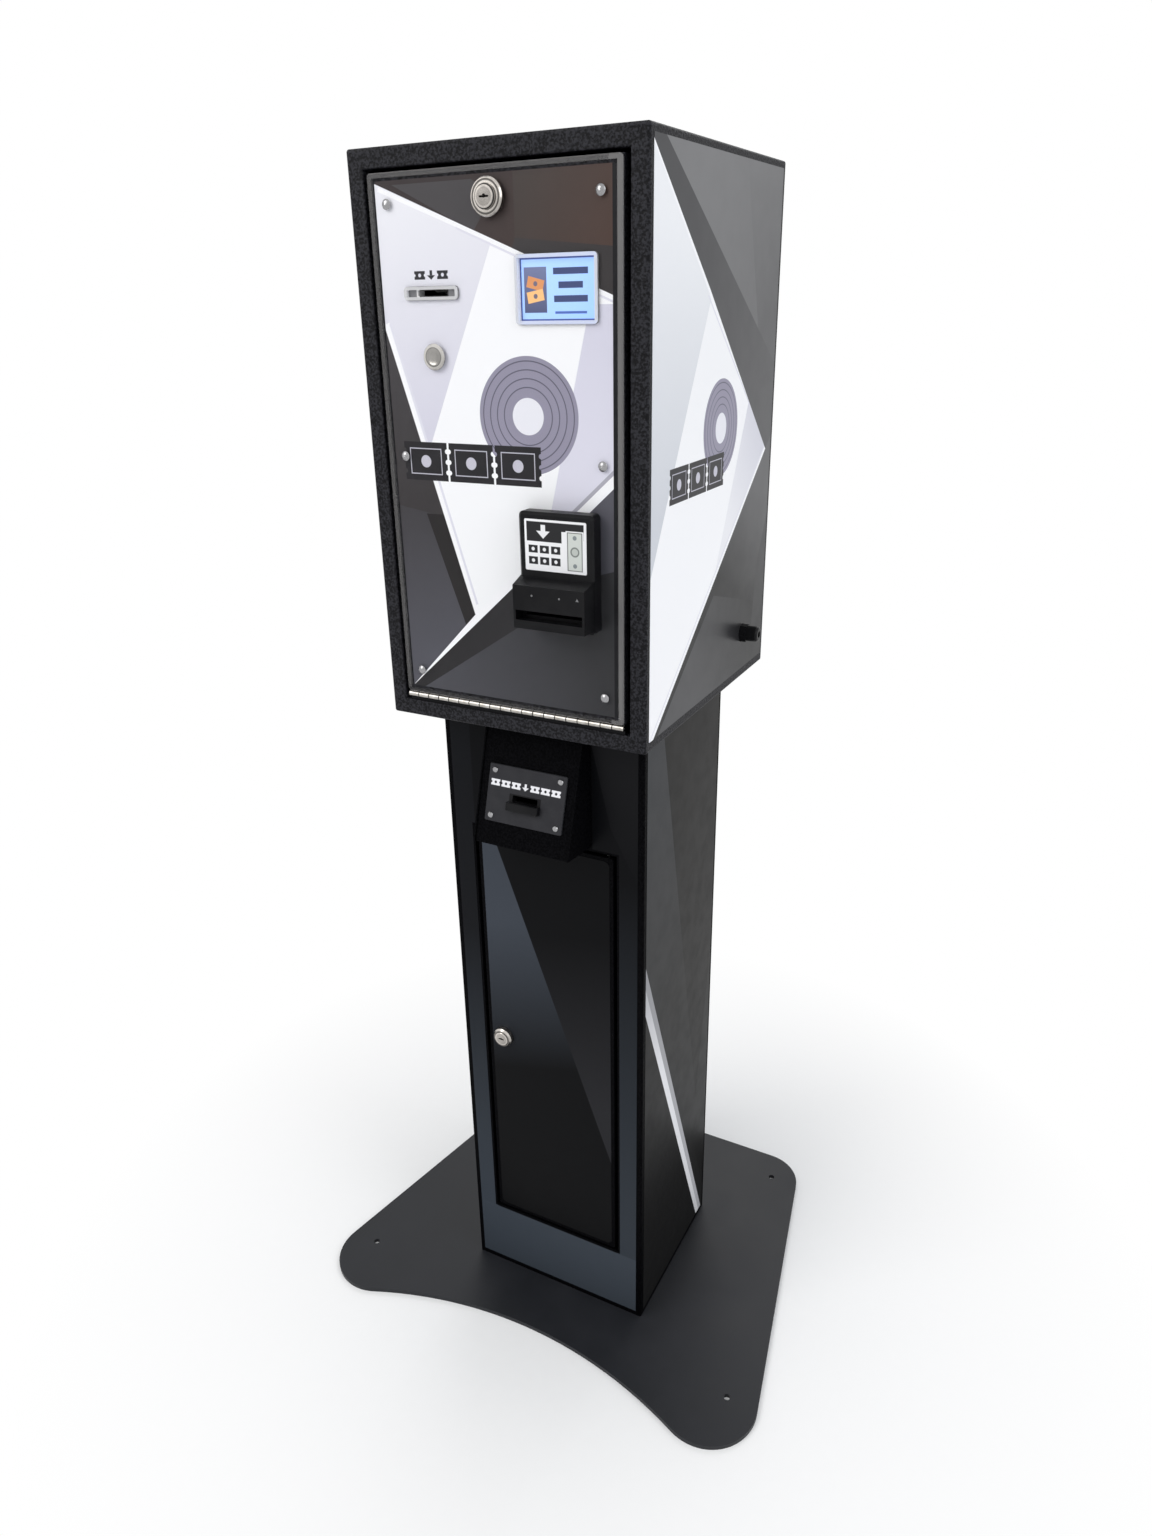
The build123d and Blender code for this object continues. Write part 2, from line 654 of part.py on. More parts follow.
def cabinet_skin(x0, x1, y0, y1):
    """The closed box that the sheets form together, cut off outside these sides."""
    half = BOX_W / 2
    skin = block(-half, half, FACE_Y, -FACE_Y, COL_TOP, BOX_TOP)
    skin = fillet(skin.edges(), BEND_R)
    skin -= block(-half + WALL, half - WALL, FACE_Y + WALL, -FACE_Y - WALL, BOX_FLOOR, BOX_TOP - WALL)
    outside = ((-half, x0, FACE_Y, -FACE_Y), (x1, half, FACE_Y, -FACE_Y), (-half, half, FACE_Y, y0),
               (-half, half, y1, -FACE_Y))
    for left, right, front, back in outside:
        if right > left and back > front:
            skin -= block(left, right, front, back, COL_TOP, BOX_TOP)
    return skin


def face_frame():
    """The front sheet, with a flange turned in all round the door's opening."""
    frame = cabinet_skin(-BOX_W / 2, BOX_W / 2, FACE_Y, FRONT_SEAM_Y)
    wide = OPEN_W / 2
    back = FACE_Y + FRAME_RETURN
    frame += block(-wide - WALL, wide + WALL, FACE_Y, back, OPEN_LOW - WALL, OPEN_HIGH + WALL)
    frame -= block(-wide, wide, FACE_Y, back, OPEN_LOW, OPEN_HIGH)
    rim = frame.edges().filter_by_position(Axis.Y, FACE_Y - TOUCH, FACE_Y + TOUCH)
    rim = rim.filter_by_position(Axis.X, -wide - TOUCH, wide + TOUCH)
    rim = rim.filter_by_position(Axis.Z, OPEN_LOW - TOUCH, OPEN_HIGH + TOUCH)
    return fillet(rim, FRAME_EDGE_R)


def cabinet_wrap():
    """Top, back and floor in one bent sheet, with the bolt holes and the cable's hole."""
    wrap = cabinet_skin(-SIDE_SEAM_X, SIDE_SEAM_X, FRONT_SEAM_Y, -FACE_Y)
    for x, y in foot_places():
        wrap -= rod_z(x, y, BOLT_R + SEAT, COL_TOP, BOX_FLOOR)
    return wrap - rod_z(0, COL_Y, COL_CABLE_R, COL_TOP, BOX_FLOOR)


def cabinet_sides():
    """The two side panels; the right one holds the cable gland."""
    half = BOX_W / 2
    left = cabinet_skin(-half, -SIDE_SEAM_X, FRONT_SEAM_Y, -FACE_Y)
    right = cabinet_skin(SIDE_SEAM_X, half, FRONT_SEAM_Y, -FACE_Y)
    return left, right - rod_x(GLAND_Y, GLAND_Z, GLAND_HOLE_R, half - WALL, half)


def box_side_films():
    long = BOX_D - 2 * FILM_MARGIN
    high = BOX_H - FILM_MARGIN - FILM_SIDE_BOTTOM
    z = (COL_TOP + FILM_SIDE_BOTTOM + BOX_TOP - FILM_MARGIN) / 2
    left = side_slab(0, z, long, high, FILM_CORNER_R, -BOX_W / 2 - FILM_T, -BOX_W / 2)
    right = side_slab(0, z, long, high, FILM_CORNER_R, BOX_W / 2, BOX_W / 2 + FILM_T)
    right -= rod_x(GLAND_Y, GLAND_Z, GLAND_HEX_R + SEAT, BOX_W / 2, BOX_W / 2 + FILM_T)
    return left, right


def cabinet_bolts():
    bolts = []
    nut_high = COL_TOP - COL_FLANGE_T
    nut_low = nut_high - BOLT_HEAD_T
    for x, y in foot_places():
        bolt = rod_z(x, y, BOLT_R, nut_low - BOLT_END, BOX_FLOOR)
        bolt += extrude(Pos(x, y, BOX_FLOOR) * RegularPolygon(BOLT_HEAD_R, 6), BOLT_HEAD_T)
        nut = extrude(Pos(x, y, nut_low) * RegularPolygon(BOLT_HEAD_R, 6), BOLT_HEAD_T)
        nut -= rod_z(x, y, BOLT_R, nut_low, nut_high)
        bolts += [bolt, nut]
    return bolts


# Front door
def screw_places():
    """Two columns and three rows of screws that hold the clear cover."""
    x = DOOR_W / 2 - SCREW_EDGE_X
    z = DOOR_H / 2 - SCREW_EDGE_Z
    return [(sx * x, DOOR_Z + sz * z) for sx in (-1, 1) for sz in (-1, 0, 1)]


def standoff_places():
    """The four corners of the control board."""
    x = BOARD_W / 2 - STANDOFF_IN
    z = BOARD_H / 2 - STANDOFF_IN
    middle = DOOR_Z - BOARD_DROP
    return [(BOARD_X + sx * x, middle + sz * z) for sx in (-1, 1) for sz in (-1, 1)]


def cut_door_holes(sheet, y0, y1, room):
    """The holes that every layer of the door has; room widens them for this layer."""
    rim_w = DISPLAY_W + 2 * DISPLAY_RIM
    rim_h = DISPLAY_H + 2 * DISPLAY_RIM
    sheet -= rod_y(0, LOCK_Z, LOCK_BARREL_R + room, y0, y1)
    sheet -= rod_y(LEFT_X, BUTTON_Z, BUTTON_BARREL_R + room, y0, y1)
    sheet -= slab(LEFT_X, EXIT_Z, EXIT_RIM_W + 2 * room, EXIT_RIM_H + 2 * room, EXIT_RIM_R, y0, y1)
    sheet -= slab(DISPLAY_X, DISPLAY_Z, rim_w + 2 * room, rim_h + 2 * room, DISPLAY_RIM_R, y0, y1)
    sheet -= slab(RIGHT_X, MASK_Z, NECK_W + 2 * room, NECK_H + 2 * room, MASK_R, y0, y1)
    for x, z in screw_places():
        sheet -= rod_y(x, z, SCREW_R + room, y0, y1)
    return sheet


def door_panel():
    x = DOOR_W / 2
    panel = block(-x, x, FACE_Y, FACE_Y + DOOR_RETURN, DOOR_LOW, DOOR_HIGH)
    panel -= block(-x + WALL, x - WALL, DOOR_BACK, FACE_Y + DOOR_RETURN, DOOR_LOW, DOOR_HIGH - WALL)
    return cut_door_holes(panel, FACE_Y, DOOR_BACK, PANEL_ROOM)


def door_print():
    wide = DOOR_W - 2 * PRINT_INSET
    high = DOOR_H - 2 * PRINT_INSET
    print_sheet = slab(0, DOOR_Z, wide, high, PRINT_R, FACE_Y - FILM_T, FACE_Y)
    return cut_door_holes(print_sheet, FACE_Y - FILM_T, FACE_Y, COVER_ROOM)


def acrylic_panel():
    """The clear cover lies on the printed sheet, with a small bevel all round."""
    cover = slab(0, DOOR_Z, DOOR_W, DOOR_H, ACRYLIC_R, ACRYLIC_Y, FACE_Y - FILM_T)
    front = cover.edges().group_by(Axis.Y)[0]
    cover = chamfer(front, ACRYLIC_BEVEL)
    return cut_door_holes(cover, ACRYLIC_Y, FACE_Y - FILM_T, COVER_ROOM)


def dome(x, z, y, r, h):
    """A rounded screw head whose flat back lies at y."""
    ball = (r**2 + h**2) / (2 * h)
    half = asin(r / ball) / 2
    middle = (ball * sin(half), ball * (1 - cos(half)) - h)
    plane = Plane((x, y, z), x_dir=(1, 0, 0), z_dir=(0, 0, 1))
    outline = Line((0, 0), (0, -h)) + ThreePointArc((0, -h), middle, (r, 0)) + Line((r, 0), (0, 0))
    return revolve(plane * make_face(outline), axis=Axis((x, y, z), (0, 1, 0)))


def acrylic_screws():
    """Dome screws through the door, each with its nut."""
    screws = []
    for x, z in screw_places():
        screw = dome(x, z, ACRYLIC_Y, SCREW_HEAD_R, SCREW_HEAD_H)
        screw += rod_y(x, z, SCREW_R, ACRYLIC_Y, DOOR_BACK + SCREW_END)
        nut = hexagon_y(x, z, SCREW_NUT_R, DOOR_BACK, DOOR_BACK + SCREW_NUT_T)
        nut -= rod_y(x, z, SCREW_R, DOOR_BACK, DOOR_BACK + SCREW_NUT_T)
        screws += [screw, nut]
    return screws


# Piano hinge: knuckles by turns on the frame's leaf and the door's leaf
def knuckle_spans(first):
    """The knuckles of one leaf: every second one from the first."""
    pitch = DOOR_W / HINGE_KNUCKLES
    gap = HINGE_KNUCKLE_GAP / 2
    starts = [-DOOR_W / 2 + i * pitch for i in range(first, HINGE_KNUCKLES, 2)]
    return [(x + gap, x + pitch - gap) for x in starts]


def hinge_leaf(spans, bore_r, half, edge):
    """One leaf with its knuckles; edge is the height of its far edge above the pin."""
    back = HINGE_Y + HINGE_KNUCKLE_R
    front = back - HINGE_LEAF_T
    near = HINGE_KNUCKLE_R + SEAT if edge > 0 else -HINGE_KNUCKLE_R - SEAT
    leaf = block(-half, half, front, back, HINGE_Z + min(near, edge), HINGE_Z + max(near, edge))
    for x0, x1 in spans:
        leaf += block(x0, x1, front, back, HINGE_Z + min(near, 0), HINGE_Z + max(near, 0))
        leaf += rod_x(HINGE_Y, HINGE_Z, HINGE_KNUCKLE_R, x0, x1)
    for x0, x1 in spans:
        leaf -= rod_x(HINGE_Y, HINGE_Z, bore_r, x0, x1)
    return leaf


def hinge_door_leaf():
    """This leaf turns on the pin and lies between the door's side flanges."""
    half = DOOR_W / 2 - WALL - SEAT
    return hinge_leaf(knuckle_spans(1), HINGE_PIN_R + RUN, half, HINGE_DOOR_LEAF_H)


def hinge_frame_leaf():
    """This leaf holds the pin and stands on a foot on the frame's lower flange."""
    half = DOOR_W / 2 - HINGE_KNUCKLE_GAP / 2
    front = HINGE_Y + HINGE_KNUCKLE_R - HINGE_LEAF_T
    leaf = hinge_leaf(knuckle_spans(0), HINGE_PIN_R, half, -HINGE_UP)
    return leaf + block(-half, half, front, FACE_Y + FRAME_RETURN, OPEN_LOW, OPEN_LOW + HINGE_LEAF_T)


def hinge_pin():
    return rod_x(HINGE_Y, HINGE_Z, HINGE_PIN_R, -DOOR_W / 2, DOOR_W / 2)


# Ticket exit in the door
def exit_rim():
    """The pale rim that lines the cut-out."""
    front = ACRYLIC_Y - EXIT_RIM_PROUD
    rim = slab(LEFT_X, EXIT_Z, EXIT_RIM_W, EXIT_RIM_H, EXIT_RIM_R, front, DOOR_BACK)
    return rim - slab(LEFT_X, EXIT_Z, EXIT_RIM_W - 2 * EXIT_RIM_T, EXIT_RIM_H - 2 * EXIT_RIM_T,
                      EXIT_RIM_R - EXIT_RIM_T, front, DOOR_BACK)


def exit_mouth():
    """The grey mouth inside the rim, with the ticket slot and a flange behind the door."""
    wide = EXIT_RIM_W - 2 * EXIT_RIM_T
    high = EXIT_RIM_H - 2 * EXIT_RIM_T
    back = DOOR_BACK + MOUTH_BACK
    front = ACRYLIC_Y + MOUTH_RECESS
    mouth = slab(LEFT_X, EXIT_Z, wide, high, EXIT_RIM_R - EXIT_RIM_T, front, DOOR_BACK)
    mouth += slab(LEFT_X, EXIT_Z, wide, EXIT_RIM_H + 2 * MOUTH_BOSS, EXIT_RIM_R, DOOR_BACK, back)
    mouth += slab(LEFT_X, EXIT_Z, EXIT_RIM_W + 2 * MOUTH_FLANGE, EXIT_RIM_H + 2 * MOUTH_FLANGE,
                  EXIT_RIM_R, DOOR_BACK, DOOR_BACK + MOUTH_FLANGE_T)
    x = SLOT_W / 2
    z = SLOT_H / 2
    return mouth - block(LEFT_X - x, LEFT_X + x, front, back, EXIT_Z - z, EXIT_Z + z)


def tear_bar():
    """A saw-toothed plate above the ticket's path, against the mouth's back."""
    y0 = DOOR_BACK + MOUTH_BACK
    low = EXIT_Z + SLOT_H / 2 + TEAR_CLEAR
    root = low + TEAR_TOOTH
    x0 = LEFT_X - SLOT_W / 2
    bar = block(x0, x0 + SLOT_W, y0, y0 + TEAR_T, root, low + TEAR_H)
    pitch = SLOT_W / TEAR_TEETH
    plane = Plane((0, y0 + TEAR_T, 0), x_dir=(1, 0, 0), z_dir=(0, -1, 0))
    for i in range(TEAR_TEETH):
        x = x0 + i * pitch
        tooth = Polyline((x, root), (x + pitch / 2, low), (x + pitch, root), close=True)
        bar += extrude(plane * make_face(tooth), TEAR_T)
    return bar


# Display
def display_rim():
    wide = DISPLAY_W + 2 * DISPLAY_RIM
    high = DISPLAY_H + 2 * DISPLAY_RIM
    front = ACRYLIC_Y - DISPLAY_RIM_PROUD
    rim = slab(DISPLAY_X, DISPLAY_Z, wide, high, DISPLAY_RIM_R, front, DOOR_BACK)
    x = DISPLAY_W / 2
    z = DISPLAY_H / 2
    return rim - block(DISPLAY_X - x, DISPLAY_X + x, front, DOOR_BACK, DISPLAY_Z - z, DISPLAY_Z + z)


def display_module():
    """The screen lies against the door's back, behind the rim."""
    x = DISPLAY_W / 2 + DISPLAY_MODULE_LIP
    z = DISPLAY_H / 2 + DISPLAY_MODULE_LIP
    back = DOOR_BACK + DISPLAY_MODULE_T
    return block(DISPLAY_X - x, DISPLAY_X + x, DOOR_BACK, back, DISPLAY_Z - z, DISPLAY_Z + z)


# Push button
def button_body():
    front = ACRYLIC_Y - BUTTON_FLANGE_T
    flange = rod_y(LEFT_X, BUTTON_Z, BUTTON_BARREL_R + BUTTON_LIP, front, ACRYLIC_Y)
    flange = chamfer(flange.edges().sort_by(Axis.Y)[0], BUTTON_BEVEL)
    body = flange + rod_y(LEFT_X, BUTTON_Z, BUTTON_BARREL_R, ACRYLIC_Y, front + BUTTON_LENGTH)
    well = BUTTON_CAP_T + BUTTON_TRAVEL + SEAT
    return body - rod_y(LEFT_X, BUTTON_Z, BUTTON_CAP_R + RUN, front, front + well)


def button_cap():
    """The moving cap, dished in the middle."""
    front = ACRYLIC_Y - BUTTON_FLANGE_T
    cap = rod_y(LEFT_X, BUTTON_Z, BUTTON_CAP_R, front, front + BUTTON_CAP_T)
    dish_edge = BUTTON_CAP_R - BUTTON_CAP_RIM
    dish_r = (dish_edge**2 + BUTTON_CAP_DISH**2) / (2 * BUTTON_CAP_DISH)
    return cap - Pos(LEFT_X, front + BUTTON_CAP_DISH - dish_r, BUTTON_Z) * Sphere(dish_r)


def button_nut():
    across = BUTTON_BARREL_R + BUTTON_NUT_WALL
    nut = hexagon_y(LEFT_X, BUTTON_Z, across, DOOR_BACK, DOOR_BACK + BUTTON_NUT_T)
    return nut - rod_y(LEFT_X, BUTTON_Z, BUTTON_BARREL_R, DOOR_BACK, DOOR_BACK + BUTTON_NUT_T)


# Bill acceptor
def bill_mask():
    """A thick plate on the clear cover, a snout with the bill mouth, and a neck through the door."""
    plate_y = ACRYLIC_Y - MASK_T
    front = plate_y - SNOUT_OUT
    back = DOOR_BACK + MASK_NECK_BACK
    plate = slab(RIGHT_X, MASK_Z, MASK_W, MASK_H, MASK_R, plate_y, ACRYLIC_Y)
    plate = chamfer(plate.edges().group_by(Axis.Y)[0], MASK_BEVEL)
    neck = slab(RIGHT_X, MASK_Z, NECK_W, NECK_H, MASK_R, ACRYLIC_Y, back)
    tip_w = MASK_W - 2 * SNOUT_DRAFT
    tip_high = SNOUT_HIGH - SNOUT_SLOPE
    root = Plane((RIGHT_X, plate_y + MASK_BEVEL, 0), x_dir=(1, 0, 0), z_dir=(0, -1, 0))
    root *= Pos(0, (SNOUT_HIGH + SNOUT_LOW) / 2)
    tip = Plane((RIGHT_X, front, 0), x_dir=(1, 0, 0), z_dir=(0, -1, 0))
    tip *= Pos(0, (tip_high + SNOUT_LOW) / 2)
    snout = loft([root * Rectangle(MASK_W, SNOUT_HIGH - SNOUT_LOW),
                  tip * Rectangle(tip_w, tip_high - SNOUT_LOW)])
    mask = plate + neck + snout
    x = tip_w / 2 - BILL_MOUTH_SIDE
    z = BILL_MOUTH_H / 2
    mask -= block(RIGHT_X - x, RIGHT_X + x, front, front + BILL_MOUTH_DEEP, BILL_Z - z, BILL_Z + z)
    return mask - bill_path(front, back)


def bill_path(front, back):
    """The flat space that a bill slides through."""
    x = BILL_W / 2
    z = BILL_H / 2
    return block(RIGHT_X - x, RIGHT_X + x, front, back, BILL_Z - z, BILL_Z + z)


def bill_validator():
    """The reader behind the mask's neck, with the bill's path through it."""
    front = DOOR_BACK + MASK_NECK_BACK
    x = VALIDATOR_W / 2
    z = VALIDATOR_H / 2
    body = block(RIGHT_X - x, RIGHT_X + x, front, front + VALIDATOR_D, MASK_Z - z, MASK_Z + z)
    body = fillet(body.edges().filter_by(Axis.X), BEND_R)
    return body - bill_path(front, front + VALIDATOR_D / 2)


def cash_box():
    """A hollow box for the bills, on top of the reader."""
    front = DOOR_BACK + MASK_NECK_BACK + CASH_SETBACK
    low = MASK_Z + VALIDATOR_H / 2
    x = CASH_W / 2
    box = block(RIGHT_X - x, RIGHT_X + x, front, front + CASH_D, low, low + CASH_H)
    x -= CASH_WALL
    hollow = block(RIGHT_X - x, RIGHT_X + x, front + CASH_WALL, front + CASH_D - CASH_WALL,
                   low + CASH_WALL, low + CASH_H - CASH_WALL)
    return box - hollow


# Ticket dispenser behind the exit
NIP_Y = DOOR_BACK + NIP_BACK
FEED_Z = EXIT_Z - NIP_GAP / 2 - FEED_ROLLER_R
PINCH_Z = EXIT_Z + NIP_GAP / 2 + PINCH_ROLLER_R
GEAR_X = LEFT_X + CHASSIS_W / 2 + GEAR_SIDE_GAP
GEAR_APART = GEAR_MODULE * (ROLLER_TEETH + MOTOR_TEETH) / 2 + GEAR_BACKLASH
MOTOR_Y = NIP_Y + GEAR_APART * cos(radians(MOTOR_ANGLE))
MOTOR_Z = FEED_Z + GEAR_APART * sin(radians(MOTOR_ANGLE))
CHASSIS_LOW = MOTOR_Z - MOTOR_R - MOTOR_UNDER - CHASSIS_T


def chassis():
    """Two side plates joined by a floor, with ears that lie on the door's back."""
    half = CHASSIS_W / 2
    back = DOOR_BACK + CHASSIS_D
    high = EXIT_Z + CHASSIS_UP
    flange_x = EXIT_RIM_W / 2 + MOUTH_FLANGE + SEAT
    flange_z = EXIT_RIM_H / 2 + MOUTH_FLANGE + SEAT
    frame = block(LEFT_X - half, LEFT_X + half, DOOR_BACK, back, CHASSIS_LOW, CHASSIS_LOW + CHASSIS_T)
    side = block(half - CHASSIS_T, half, DOOR_BACK, back, CHASSIS_LOW, high)
    side += block(half - CHASSIS_T, half + CHASSIS_EAR, DOOR_BACK, DOOR_BACK + CHASSIS_T,
                  CHASSIS_LOW, EXIT_Z - flange_z)
    frame += Pos(LEFT_X, 0, 0) * side + Pos(LEFT_X, 0, 0) * mirror(side, about=Plane.YZ)
    frame -= block(LEFT_X - flange_x, LEFT_X + flange_x, DOOR_BACK, DOOR_BACK + MOUTH_FLANGE_T + SEAT,
                   EXIT_Z - flange_z, EXIT_Z + flange_z)
    x = EXIT_RIM_W / 2 - EXIT_RIM_T + SEAT
    z = EXIT_RIM_H / 2 + MOUTH_BOSS + SEAT
    frame -= block(LEFT_X - x, LEFT_X + x, DOOR_BACK, DOOR_BACK + MOUTH_BACK + SEAT, EXIT_Z - z, EXIT_Z + z)
    for shaft_z in (FEED_Z, PINCH_Z):
        frame -= rod_x(NIP_Y, shaft_z, SHAFT_R + RUN, LEFT_X - half, LEFT_X + half)
    return frame - rod_x(MOTOR_Y, MOTOR_Z, MOTOR_SHAFT_R + SEAT, LEFT_X, LEFT_X + half)


def feed_shaft():
    end = GEAR_X + GEAR_W
    return rod_x(NIP_Y, FEED_Z, SHAFT_R, LEFT_X - CHASSIS_W / 2 - GEAR_SIDE_GAP, end)


def feed_roller():
    half = ROLLER_L / 2
    roller = rod_x(NIP_Y, FEED_Z, FEED_ROLLER_R, LEFT_X - half, LEFT_X + half)
    return roller - rod_x(NIP_Y, FEED_Z, SHAFT_R, LEFT_X - half, LEFT_X + half)


def pinch_roller():
    half = ROLLER_L / 2
    roller = rod_x(NIP_Y, PINCH_Z, PINCH_ROLLER_R, LEFT_X - half, LEFT_X + half)
    reach = CHASSIS_W / 2 + GEAR_SIDE_GAP
    return roller + rod_x(NIP_Y, PINCH_Z, SHAFT_R, LEFT_X - reach, LEFT_X + reach)


def gear_face(teeth, turn):
    """A spur gear's outline: involute flanks on a root circle, with a tooth at the angle turn."""
    pitch_r = GEAR_MODULE * teeth / 2
    base_r = pitch_r * cos(radians(GEAR_PRESSURE))
    tip_r = pitch_r + GEAR_TIP * GEAR_MODULE
    root_r = pitch_r - GEAR_ROOT * GEAR_MODULE
    half_tooth = pi * GEAR_MODULE * GEAR_TOOTH_SHARE / 2 / pitch_r

    def spread(r):
        roll = sqrt(max((r / base_r) ** 2 - 1, 0))
        return roll - atan2(roll, 1)

    low_r = max(base_r, root_r)
    steps = GEAR_FLANK_STEPS
    radii = [low_r + (tip_r - low_r) * i / steps for i in range(steps + 1)]
    flank = [(r, half_tooth + spread(pitch_r) - spread(r)) for r in radii]
    wheel = Circle(root_r)
    for i in range(teeth):
        middle = radians(turn) + 2 * pi * i / teeth
        inner = root_r * GEAR_SINK
        foot = flank[0][1]
        points = [(inner * cos(middle - foot), inner * sin(middle - foot))]
        points += [(r * cos(middle - a), r * sin(middle - a)) for r, a in flank]
        points += [(r * cos(middle + a), r * sin(middle + a)) for r, a in reversed(flank)]
        points += [(inner * cos(middle + foot), inner * sin(middle + foot))]
        wheel += make_face(Polyline(*points, close=True))
    return wheel


def gear(teeth, turn, y, z, bore_r):
    plane = Plane((GEAR_X, y, z), x_dir=(0, 1, 0), z_dir=(1, 0, 0))
    return extrude(plane * gear_face(teeth, turn), GEAR_W) - rod_x(y, z, bore_r, GEAR_X, GEAR_X + GEAR_W)


def roller_gear():
    """A gap of this gear faces the motor gear's tooth."""
    return gear(ROLLER_TEETH, MOTOR_ANGLE + 180 / ROLLER_TEETH, NIP_Y, FEED_Z, SHAFT_R)


def motor_gear():
    wheel = gear(MOTOR_TEETH, MOTOR_ANGLE + 180, MOTOR_Y, MOTOR_Z, MOTOR_SHAFT_R)
    start = LEFT_X + CHASSIS_W / 2 - CHASSIS_T
    return wheel + rod_x(MOTOR_Y, MOTOR_Z, MOTOR_SHAFT_R, start, GEAR_X + GEAR_W)


def motor():
    """The motor lies between the side plates, against the right one."""
    inner = CHASSIS_W / 2 - CHASSIS_T
    return rod_x(MOTOR_Y, MOTOR_Z, MOTOR_R, LEFT_X - inner + MOTOR_END_GAP, LEFT_X + inner - SEAT)


# Electronics
def control_board():
    """A board with one large chip and two rows of connectors."""
    board_y = DOOR_BACK + STANDOFF_L
    top = board_y + BOARD_T
    middle = DOOR_Z - BOARD_DROP
    w = BOARD_W / 2
    h = BOARD_H / 2
    board = block(BOARD_X - w, BOARD_X + w, board_y, top, middle - h, middle + h)
    chip = CHIP_W / 2
    board += block(BOARD_X - chip, BOARD_X + chip, top, top + CHIP_T, middle - chip, middle + chip)
    for sign in (-1, 1):
        x = BOARD_X + sign * (w - CONNECTOR_IN)
        board += block(x - CONNECTOR_W / 2, x + CONNECTOR_W / 2, top, top + CONNECTOR_H,
                       middle - CONNECTOR_L / 2, middle + CONNECTOR_L / 2)
    return board


def board_standoffs():
    return [rod_y(x, z, STANDOFF_R, DOOR_BACK, DOOR_BACK + STANDOFF_L) for x, z in standoff_places()]


def power_supply():
    """A closed metal case on the cabinet's back wall."""
    x = SUPPLY_W / 2
    back = -FACE_Y - WALL
    low = BOX_FLOOR + SUPPLY_UP
    case = block(SUPPLY_X - x, SUPPLY_X + x, back - SUPPLY_T, back, low, low + SUPPLY_H)
    return chamfer(case.edges().filter_by(Axis.Z), SUPPLY_BEVEL)


# Ticket store
def ticket_tray():
    """A narrow open tray on the cabinet's floor."""
    x = TRAY_W / 2
    y = TRAY_D / 2
    top = BOX_FLOOR + TRAY_H
    tray = block(LEFT_X - x, LEFT_X + x, TRAY_Y - y, TRAY_Y + y, BOX_FLOOR, top)
    x -= TRAY_WALL
    y -= TRAY_WALL
    return tray - block(LEFT_X - x, LEFT_X + x, TRAY_Y - y, TRAY_Y + y, BOX_FLOOR + TRAY_WALL, top)


def ticket_stack():
    """The folded tickets as one pile."""
    x = TICKET_W / 2
    y = TICKET_FOLD_L / 2
    low = BOX_FLOOR + TRAY_WALL
    return block(LEFT_X - x, LEFT_X + x, TRAY_Y - y, TRAY_Y + y, low, low + TICKET_STACK_H)


# Cable gland
def gland_body():
    side = BOX_W / 2
    body = hexagon_x(GLAND_Y, GLAND_Z, GLAND_HEX_R, side, side + GLAND_HEX_T)
    body += rod_x(GLAND_Y, GLAND_Z, GLAND_HOLE_R, side - GLAND_TAIL, side)
    return body - rod_x(GLAND_Y, GLAND_Z, GLAND_BORE_R, side - GLAND_TAIL, side + GLAND_HEX_T)


def gland_cap():
    """The domed nut at the outer end, with the cable's bore."""
    side = BOX_W / 2 + GLAND_HEX_T
    cap = rod_x(GLAND_Y, GLAND_Z, GLAND_CAP_R, side, side + GLAND_CAP_L)
    cap = fillet(cap.edges().sort_by(Axis.X)[-1], GLAND_CAP_ROUND)
    return cap - rod_x(GLAND_Y, GLAND_Z, GLAND_BORE_R, side, side + GLAND_CAP_L)


def gland_locknut():
    inside = BOX_W / 2 - WALL
    nut = hexagon_x(GLAND_Y, GLAND_Z, GLAND_NUT_R, inside - GLAND_NUT_T, inside)
    return nut - rod_x(GLAND_Y, GLAND_Z, GLAND_HOLE_R, inside - GLAND_NUT_T, inside)


# Hood: a wedge on the column's face, under the cabinet
HOOD_FRONT_LOW = Vector(0, COL_FACE - HOOD_BOTTOM_OUT, COL_TOP - HOOD_FRONT_H)
HOOD_FRONT_HIGH = Vector(0, COL_FACE - HOOD_TOP_OUT, COL_TOP)
HOOD_UP = (HOOD_FRONT_HIGH - HOOD_FRONT_LOW).normalized()
HOOD_OUT = Vector(0, -HOOD_UP.Z, HOOD_UP.Y)


def hood_profile(inset, front_inset):
    """The wedge seen from the side, its front moved back and its underside moved up."""
    lean = HOOD_UP.Y / HOOD_UP.Z
    rise = (HOOD_BACK_H - HOOD_FRONT_H) / HOOD_BOTTOM_OUT
    moved = front_inset / HOOD_UP.Z
    low = HOOD_LOW + inset * sqrt(1 + rise**2)
    # The inner front corner lies where the moved front meets the moved underside.
    foot_y = HOOD_FRONT_LOW.Y + moved + lean * (low + rise * COL_FACE - HOOD_FRONT_LOW.Z)
    y = foot_y / (1 + lean * rise)
    corner = (y, low + rise * (COL_FACE - y))
    return Polyline((COL_FACE, low), corner, (HOOD_FRONT_HIGH.Y + moved, COL_TOP),
                    (COL_FACE, COL_TOP), close=True)


def hood_prism(inset, front_inset, half):
    plane = Plane((-half, 0, 0), x_dir=(0, 1, 0), z_dir=(1, 0, 0))
    return extrude(plane * make_face(hood_profile(inset, front_inset)), 2 * half)


def on_hood(x, up, out):
    """A place on the hood's front: up along the slope from its lower edge, out from its face."""
    return HOOD_FRONT_LOW + Vector(x, 0, 0) + HOOD_UP * up + HOOD_OUT * out


